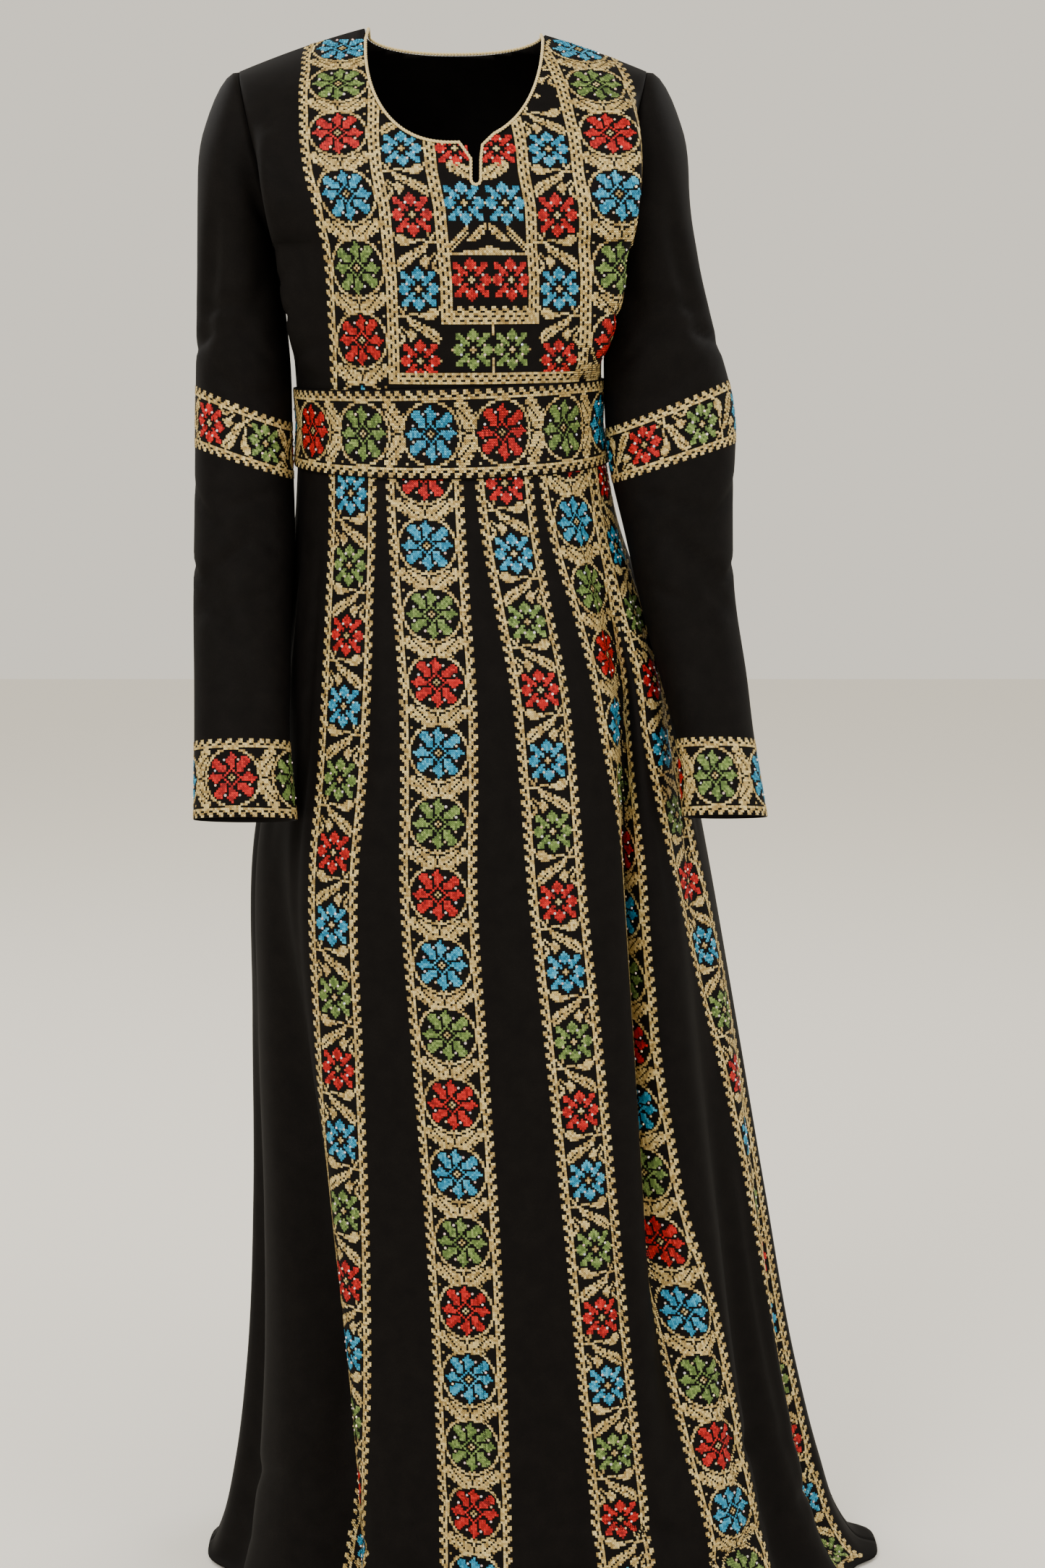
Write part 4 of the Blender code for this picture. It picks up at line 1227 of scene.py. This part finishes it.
# %% [markdown]
# ## Materials
#
# Crepe is woven from hard-twisted yarn, so its face is matt and faintly pebbled, and black crepe is a very dark
# warm grey where light falls on it. The stitches are stranded cotton, mercerised for a soft sheen: each cross
# catches the light a little differently, which the shade attribute gives.

# %% Crepe
def new_material(name):
    """An empty node material with its shader and output."""
    material = bpy.data.materials.new(name)
    material.use_nodes = True
    tree = material.node_tree
    tree.nodes.clear()
    shader = node(tree, "ShaderNodeBsdfPrincipled")
    node(tree, "ShaderNodeOutputMaterial", {}, {"Surface": shader.outputs["BSDF"]})
    return material, tree, shader


def crepe(name):
    """Black polyester crepe, woven: matt and pebbled, with a soft lighter mottle where it is worn."""
    material, tree, shader = new_material(name)
    place = node(tree, "ShaderNodeTexCoord").outputs["Object"]
    # The pebbles of real crepe are about 0.4 mm; drawn at 0.9 mm, they still show at this distance
    pebble = node(tree, "ShaderNodeTexNoise", {"Scale": 1100.0, "Detail": 2.0, "Roughness": 0.6}, {"Vector": place})
    mottle = node(tree, "ShaderNodeTexNoise", {"Scale": 60.0, "Detail": 3.0, "Roughness": 0.55}, {"Vector": place})
    mixed = node(tree, "ShaderNodeMath", {"operation": "MULTIPLY"},
                 {0: pebble.outputs["Fac"], 1: mottle.outputs["Fac"]})
    ramp = node(tree, "ShaderNodeValToRGB", {}, {"Fac": mixed.outputs["Value"]})
    ramp.color_ramp.elements[0].position = 0.12
    ramp.color_ramp.elements[0].color = linear("#070504")
    ramp.color_ramp.elements[1].position = 0.45
    ramp.color_ramp.elements[1].color = linear("#0f0c0a")
    bump = node(tree, "ShaderNodeBump", {"Strength": 0.35, "Distance": 0.0004}, {"Height": pebble.outputs["Fac"]})
    tree.links.new(ramp.outputs["Color"], shader.inputs["Base Color"])
    tree.links.new(bump.outputs["Normal"], shader.inputs["Normal"])
    shader.inputs["Roughness"].default_value = 0.74
    shader.inputs["Specular IOR Level"].default_value = 0.08
    return material


crepe_skirt = crepe("black_crepe_woven_skirt")
crepe_bodice = crepe("black_crepe_woven_bodice")
crepe_sleeve = crepe("black_crepe_woven_sleeve")
crepe_belt = crepe("black_crepe_woven_belt")
print("crepe:", crepe_skirt.name)

# %% Threads, stones and cord
THREADS = {
    "gold": ("#8e733f", "#c6aa68", "#ead494"),
    "red": ("#7a0709", "#b80b0e", "#dc1f1a"),
    "blue": ("#0f6688", "#1f90b8", "#52b6d8"),
    "green": ("#465a2c", "#67803d", "#90a65c"),
}


def thread_material(name, dark, middle, light):
    """Stranded cotton, mercerised: three tones by the stitch, a soft gloss and the twist of the strand."""
    material, tree, shader = new_material(name)
    shade = node(tree, "ShaderNodeAttribute", {"attribute_name": "shade"})
    place = node(tree, "ShaderNodeTexCoord").outputs["Object"]
    # The twist of the strand is 0.3 mm; drawn at 0.6 mm so that it still breaks up the gloss
    twist = node(tree, "ShaderNodeTexNoise", {"Scale": 1700.0, "Detail": 1.0}, {"Vector": place})
    ramp = node(tree, "ShaderNodeValToRGB", {}, {"Fac": shade.outputs["Fac"]})
    ramp.color_ramp.elements[0].color = linear(dark)
    ramp.color_ramp.elements[1].color = linear(light)
    ramp.color_ramp.elements.new(0.5).color = linear(middle)
    bump = node(tree, "ShaderNodeBump", {"Strength": 0.4, "Distance": 0.0003}, {"Height": twist.outputs["Fac"]})
    tree.links.new(ramp.outputs["Color"], shader.inputs["Base Color"])
    tree.links.new(bump.outputs["Normal"], shader.inputs["Normal"])
    shader.inputs["Roughness"].default_value = 0.55
    shader.inputs["Specular IOR Level"].default_value = 0.25
    return material


threads = {name: thread_material("cotton_thread_mercerised_" + name, *tones) for name, tones in THREADS.items()}

stone_glass, tree, shader = new_material("foiled_glass_stone_cut")
# Foil-backed cut glass throws back white, rose and amber light, so each stone has one of these tints
shade = node(tree, "ShaderNodeAttribute", {"attribute_name": "shade"})
ramp = node(tree, "ShaderNodeValToRGB", {}, {"Fac": shade.outputs["Fac"]})
ramp.color_ramp.elements[0].color = linear("#f6f2f0")
ramp.color_ramp.elements[1].color = linear("#d9e2f4")
ramp.color_ramp.elements.new(0.4).color = linear("#f3c9c6")
ramp.color_ramp.elements.new(0.7).color = linear("#f1d19a")
tree.links.new(ramp.outputs["Color"], shader.inputs["Base Color"])
shader.inputs["Roughness"].default_value = 0.12
shader.inputs["Metallic"].default_value = 0.35
shader.inputs["Coat Weight"].default_value = 0.5

gold_cord, tree, shader = new_material("gold_cord_twisted")
# Twisted rayon cord in pale gold: glossy along each strand, darker in the grooves between the strands
place = node(tree, "ShaderNodeTexCoord").outputs["Object"]
grain = node(tree, "ShaderNodeTexNoise", {"Scale": 900.0, "Detail": 2.0}, {"Vector": place})
ramp = node(tree, "ShaderNodeValToRGB", {}, {"Fac": grain.outputs["Fac"]})
ramp.color_ramp.elements[0].color = linear("#bfa15c")
ramp.color_ramp.elements[1].color = linear("#f2dfa8")
tree.links.new(ramp.outputs["Color"], shader.inputs["Base Color"])
shader.inputs["Roughness"].default_value = 0.38
print("threads:", sorted(threads))

# %% [markdown]
# ## Sewing with Geometry Nodes
#
# A cross stitch is two short threads, one over the other. One is enough as a model: Geometry Nodes put a copy on
# every point, turned to the cloth, with a slight random turn and size, as by hand. Realize Instances then makes
# real threads of them, because an export knows nothing of instances.

# %% Node tree of the stitches
def inputs_of(tree, sizes):
    """Gives a node tree its geometry sockets and one named input for each size."""
    tree.interface.new_socket("Geometry", in_out="INPUT", socket_type="NodeSocketGeometry")
    tree.interface.new_socket("Geometry", in_out="OUTPUT", socket_type="NodeSocketGeometry")
    for name, value in sizes.items():
        kind = "NodeSocketMaterial" if name == "Material" else "NodeSocketFloat"
        kind = "NodeSocketInt" if name == "Seed" else kind
        tree.interface.new_socket(name, in_out="INPUT", socket_type=kind)
    return node(tree, "NodeGroupInput")


def maths(tree, operation, first, second):
    """Adds a maths node on sockets or numbers, and gives back its result."""
    made = tree.nodes.new("ShaderNodeMath")
    made.operation = operation
    for socket, value in zip(made.inputs, (first, second)):
        if isinstance(value, (int, float)):
            socket.default_value = value
        else:
            tree.links.new(value, socket)
    return made.outputs["Value"]


def placed_copies(tree, group, shape, turn_range, size_low, size_high):
    """Puts a shape on every point, turned to the cloth, and ends the tree with real faces and a material."""
    out = node(tree, "GeometryNodeInputNamedAttribute", {"data_type": "FLOAT_VECTOR", "Name": "cloth_out"})
    row = node(tree, "GeometryNodeInputNamedAttribute", {"data_type": "FLOAT_VECTOR", "Name": "cloth_row"})
    size = node(tree, "GeometryNodeInputNamedAttribute", {"data_type": "FLOAT", "Name": "stitch_size"})
    axes = node(tree, "FunctionNodeAxesToRotation", {"primary_axis": "Z", "secondary_axis": "X"},
                {0: out.outputs["Attribute"], 1: row.outputs["Attribute"]})
    turn = node(tree, "FunctionNodeRandomValue", {"data_type": "FLOAT", 2: -turn_range, 3: turn_range},
                {"Seed": group.outputs["Seed"]})
    twist = node(tree, "ShaderNodeCombineXYZ", {}, {"Z": turn.outputs[1]})
    tilt = node(tree, "FunctionNodeEulerToRotation", {}, {0: twist.outputs[0]})
    both = node(tree, "FunctionNodeRotateRotation", {"rotation_space": "LOCAL"},
                {0: axes.outputs[0], 1: tilt.outputs[0]})
    vary = node(tree, "FunctionNodeRandomValue", {"data_type": "FLOAT", 2: size_low, 3: size_high},
                {"Seed": maths(tree, "ADD", group.outputs["Seed"], 1)})
    scale = maths(tree, "MULTIPLY", size.outputs["Attribute"], vary.outputs[1])
    copies = node(tree, "GeometryNodeInstanceOnPoints", {},
                  {"Points": group.outputs["Geometry"], "Instance": shape, "Rotation": both.outputs[0],
                   "Scale": scale})
    tone = node(tree, "FunctionNodeRandomValue", {"data_type": "FLOAT", 2: 0.0, 3: 1.0},
                {"Seed": maths(tree, "ADD", group.outputs["Seed"], 2)})
    store = node(tree, "GeometryNodeStoreNamedAttribute",
                 {"data_type": "FLOAT", "domain": "INSTANCE", "Name": "shade"},
                 {"Geometry": copies.outputs[0], "Value": tone.outputs[1]})
    real = node(tree, "GeometryNodeRealizeInstances", {}, {0: store.outputs[0]})
    painted = node(tree, "GeometryNodeSetMaterial", {},
                   {"Geometry": real.outputs[0], "Material": group.outputs["Material"]})
    node(tree, "NodeGroupOutput", {}, {0: painted.outputs[0]})


def stitch_tree():
    """The tree that sews: sizes are shares of a stitch, and each point's own size scales them."""
    tree = bpy.data.node_groups.new("cross_stitch", "GeometryNodeTree")
    group = inputs_of(tree, {"Thread width": 0, "Thread length": 0, "Arch": 0, "Seed": 0, "Material": 0})
    strip = node(tree, "GeometryNodeMeshGrid", {"Vertices X": 3, "Vertices Y": 2},
                 {"Size X": group.outputs["Thread length"], "Size Y": group.outputs["Thread width"]})
    where = node(tree, "ShaderNodeSeparateXYZ", {}, {0: node(tree, "GeometryNodeInputPosition").outputs[0]})
    half = maths(tree, "MULTIPLY", group.outputs["Thread length"], 0.5)
    outness = maths(tree, "DIVIDE", maths(tree, "ABSOLUTE", where.outputs["X"], 0), half)
    lift = maths(tree, "MULTIPLY", maths(tree, "SUBTRACT", 1, outness), group.outputs["Arch"])
    bent = node(tree, "GeometryNodeSetPosition", {},
                {"Geometry": strip.outputs["Mesh"], "Offset": node(tree, "ShaderNodeCombineXYZ", {}, {"Z": lift}).outputs[0]})
    under = node(tree, "GeometryNodeTransform", {"Rotation": (0, 0, math.radians(45)), "Translation": (0, 0, 0.06)},
                 {"Geometry": bent.outputs[0]})
    over = node(tree, "GeometryNodeTransform", {"Rotation": (0, 0, math.radians(-45)), "Translation": (0, 0, 0.16)},
                {"Geometry": bent.outputs[0]})
    cross = node(tree, "GeometryNodeJoinGeometry", {}, {0: under.outputs[0]})
    tree.links.new(over.outputs[0], cross.inputs[0])
    soft = node(tree, "GeometryNodeSetShadeSmooth", {}, {"Geometry": cross.outputs[0]})
    placed_copies(tree, group, soft.outputs[0], 0.07, 0.94, 1.05)
    return tree


def stone_tree():
    """The tree that sets stones: a cone cut off at its table, with eight facets."""
    tree = bpy.data.node_groups.new("set_stones", "GeometryNodeTree")
    group = inputs_of(tree, {"Girdle": 0, "Table": 0, "Depth": 0, "Seed": 0, "Material": 0})
    gem = node(tree, "GeometryNodeMeshCone", {"fill_type": "TRIANGLE_FAN", "Vertices": 8},
               {"Radius Bottom": group.outputs["Girdle"], "Radius Top": group.outputs["Table"],
                "Depth": group.outputs["Depth"]})
    raised = node(tree, "GeometryNodeTransform", {"Translation": (0, 0, 0.22)}, {"Geometry": gem.outputs["Mesh"]})
    placed_copies(tree, group, raised.outputs[0], 0.4, 0.9, 1.1)
    return tree


STITCHES = stitch_tree()
STONES = stone_tree()
print("trees:", STITCHES.name, STONES.name)

# %% Sewing it all
def worked(name, rows, tree, values, material):
    """Makes a mesh of points with their directions, runs the tree on it, and keeps the result as plain faces."""
    mesh = bpy.data.meshes.new(name)
    mesh.vertices.add(len(rows))
    mesh.vertices.foreach_set("co", rows[:, :3].astype(np.float32).ravel())
    for attribute, columns in (("cloth_out", slice(3, 6)), ("cloth_row", slice(6, 9))):
        layer = mesh.attributes.new(attribute, "FLOAT_VECTOR", "POINT")
        layer.data.foreach_set("vector", rows[:, columns].astype(np.float32).ravel())
    sizes = mesh.attributes.new("stitch_size", "FLOAT", "POINT")
    sizes.data.foreach_set("value", rows[:, 9].astype(np.float32))
    piece = bpy.data.objects.new(name, mesh)
    bpy.context.scene.collection.objects.link(piece)
    work = piece.modifiers.new("work", "NODES")
    work.node_group = tree
    for item in tree.interface.items_tree:
        if item.in_out == "INPUT" and item.name in values:
            work[item.identifier] = values[item.name]
        if item.in_out == "INPUT" and item.name == "Material":
            work[item.identifier] = material
    plain = made_plain(piece)
    for attribute in ("cloth_out", "cloth_row", "stitch_size"):
        if attribute in plain.data.attributes:
            plain.data.attributes.remove(plain.data.attributes[attribute])
    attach(plain, "root")
    return plain


THREAD_SIZES = {"Thread width": 0.42, "Thread length": 1.26, "Arch": 0.14}
STONE_SIZES = {"Girdle": 0.62, "Table": 0.34, "Depth": 0.40}
sewn = {}
for seed, (region, work) in enumerate(works.items()):
    sewn[region] = []
    for thread, parts in work.threads.items():
        rows = np.concatenate(parts)
        piece = worked(region + "_stitches_" + thread, rows, STITCHES, {**THREAD_SIZES, "Seed": 10 * seed + 3},
                       threads[thread])
        sewn[region].append(piece)
        print(piece.name, len(rows), "stitches,", triangles(piece), "triangles")
    rows = np.concatenate(work.stones)
    piece = worked(region + "_stones", rows, STONES, {**STONE_SIZES, "Seed": 10 * seed + 7}, stone_glass)
    piece.data.shade_flat()
    sewn[region].append(piece)
    print(piece.name, len(rows), "stones,", triangles(piece), "triangles")

# %% [markdown]
# ## Piping
#
# The raw edge of the neck is covered with two thin gold cords twisted round each other. Their line follows the
# opening: it is found on the cloth with rays, and a Curve to Mesh node gives the cords their roundness.

# %% Piping
PIPING = {"strand": 0.00085, "offset": 0.00065, "turn": 0.0060, "inset": -0.0017, "low": 0.004}


def on_cloth(piece, outline, way):
    """Points of an outline in x and z on the outer face of a bodice half."""
    tree = BVHTree.FromPolygons([v.co for v in piece.data.vertices], [tuple(f.vertices) for f in piece.data.polygons])
    found = []
    for x, z in outline:
        away = 0.0
        hit = None
        while hit is None and away < 0.006:
            for sx, sz in ((0, 0), (away, 0), (-away, 0), (0, -away)):
                hit = hit or tree.ray_cast(Vector((x + sx, way, z + sz - CARRY_HEIGHT)), Vector((0, -way, 0)))[0]
            away += 0.0005
        if hit and z < NECK["top"] - PIPING["low"]:
            found.append((x, hit.y, z - CARRY_HEIGHT))
    return found


def shoulder_corner(x):
    """The point of the shoulder seam at an x."""
    tip = float(armhole_points(90.0)[0])
    angle = math.degrees(math.asin(x / tip))
    return tuple((bodice_high(angle, 1.0, False) - LOWER).tolist())


corner = NECK["half_width"] + 2 * PIPING["inset"]
line = on_cloth(bodice_front, front_outline(PIPING["inset"]), -1)
line.append(shoulder_corner(NECK["centre"] + corner))
line += reversed(on_cloth(bodice_back, neck_outline(NECK["back"], PIPING["inset"]), 1))
line.append(shoulder_corner(NECK["centre"] - corner))
line = np.array(line + line[:1])
reach = np.concatenate(([0.0], np.cumsum(np.linalg.norm(np.diff(line, axis=0), axis=1))))
turns = round(reach[-1] / PIPING["turn"])
at = np.linspace(0.0, reach[-1], turns * 10 + 1)[:-1]
path = np.stack([np.interp(at, reach, line[:, axis]) for axis in range(3)], axis=1)
along = np.roll(path, -1, axis=0) - np.roll(path, 1, axis=0)
along /= np.linalg.norm(along, axis=1, keepdims=True)
first = np.cross(along, (0.0, 1.0, 0.0))
first /= np.linalg.norm(first, axis=1, keepdims=True)
second = np.cross(along, first)

cords = bpy.data.curves.new("neck_piping_cords", "CURVE")
cords.dimensions = "3D"
for half_turn in (0.0, math.pi):
    phase = 2 * math.pi * turns * at / reach[-1] + half_turn
    strand = path + PIPING["offset"] * (np.cos(phase)[:, None] * first + np.sin(phase)[:, None] * second)
    spline = cords.splines.new("POLY")
    spline.points.add(len(strand) - 1)
    spline.points.foreach_set("co", np.column_stack((strand, np.ones(len(strand)))).ravel())
    spline.use_cyclic_u = True
piping = bpy.data.objects.new("neck_piping_cords", cords)
bpy.context.scene.collection.objects.link(piping)
cord_tree = bpy.data.node_groups.new("round_cord", "GeometryNodeTree")
group = inputs_of(cord_tree, {"Radius": 0, "Material": 0})
circle = node(cord_tree, "GeometryNodeCurvePrimitiveCircle", {"Resolution": 6}, {"Radius": group.outputs["Radius"]})
tube = node(cord_tree, "GeometryNodeCurveToMesh", {},
            {"Curve": group.outputs["Geometry"], "Profile Curve": circle.outputs["Curve"]})
soft = node(cord_tree, "GeometryNodeSetShadeSmooth", {}, {"Geometry": tube.outputs[0]})
real = node(cord_tree, "GeometryNodeRealizeInstances", {}, {0: soft.outputs[0]})
painted = node(cord_tree, "GeometryNodeSetMaterial", {},
               {"Geometry": real.outputs[0], "Material": group.outputs["Material"]})
node(cord_tree, "NodeGroupOutput", {}, {0: painted.outputs[0]})
rounding = piping.modifiers.new("rounding", "NODES")
rounding.node_group = cord_tree
for item in cord_tree.interface.items_tree:
    if item.in_out == "INPUT" and item.name == "Radius":
        rounding[item.identifier] = PIPING["strand"]
    if item.in_out == "INPUT" and item.name == "Material":
        rounding[item.identifier] = gold_cord
piping = made_plain(piping)
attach(piping, "root")
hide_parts("neck_piping")
print("piping:", round(reach[-1], 3), "m long,", triangles(piping), "triangles")

# %% [markdown]
# ## Cloth in place
#
# Each piece now takes its solid's place, with its material.

# %% Each piece in its place
dressed(skirt_front, "skirt_front", crepe_skirt)
dressed(skirt_back, "skirt_back", crepe_skirt)
dressed(bodice_front, "bodice_front", crepe_bodice)
dressed(bodice_back, "bodice_back", crepe_bodice)
for which, piece in sleeves.items():
    dressed(piece, "sleeve_" + which, crepe_sleeve)
dressed(belt, "belt", crepe_belt)

# %% [markdown]
# ## Floor, light and camera
#
# A pale floor and large soft lamps keep the shadows gentle. Black cloth takes a lot of light before its folds
# show, so the key lamp stands close and high at the front.

# %% Floor
floor_mesh = bpy.data.meshes.new("studio_floor")
floor_mesh.from_pydata([(-6, -6, 0), (6, -6, 0), (6, 6, 0), (-6, 6, 0)], [], [(0, 1, 2, 3)])
floor = bpy.data.objects.new("studio_floor", floor_mesh)
floor.location = (0, 0, -CARRY_HEIGHT)
bpy.context.scene.collection.objects.link(floor)
paper, tree, shader = new_material("pale_studio_floor")
shader.inputs["Base Color"].default_value = linear("#f0ece3")
shader.inputs["Roughness"].default_value = 0.8
floor.data.materials.append(paper)

world = bpy.data.worlds.new("studio_air")
world.use_nodes = True
world.node_tree.nodes["Background"].inputs["Color"].default_value = linear("#ece5d6")
world.node_tree.nodes["Background"].inputs["Strength"].default_value = 1.20
bpy.context.scene.world = world

# %% Lamps and camera
LAMPS = [
    ("key", (-1.5, -2.4, 1.5), (0.05, 0.0, -0.5), 1.8, 75.0),
    ("fill", (2.3, -2.0, 0.6), (0.05, 0.0, -0.6), 1.6, 36.0),
    ("rim_left", (-2.0, 1.8, 1.2), (0.0, 0.0, -0.5), 1.2, 40.0),
    ("rim_right", (2.2, 1.6, 1.2), (0.0, 0.0, -0.5), 1.2, 34.0),
]
for name, place, target, size, power in LAMPS:
    lamp = bpy.data.lights.new(name, "AREA")
    lamp.shape = "DISK"
    lamp.size = size
    lamp.energy = power
    holder = bpy.data.objects.new(name, lamp)
    holder.location = place
    holder.rotation_euler = (Vector(target) - Vector(place)).to_track_quat("-Z", "Y").to_euler()
    bpy.context.scene.collection.objects.link(holder)

view = bpy.data.cameras.new("view")
view.sensor_fit = "AUTO"
view.sensor_width = 36.0
view.lens = 64.76
camera = bpy.data.objects.new("view", view)
camera.location = (0.071, -2.6, -0.20)
camera.rotation_euler = (math.radians(90 - 10.4), 0.0, 0.0)
bpy.context.scene.collection.objects.link(camera)
bpy.context.scene.camera = camera
print("camera at", tuple(round(v, 3) for v in camera.location))
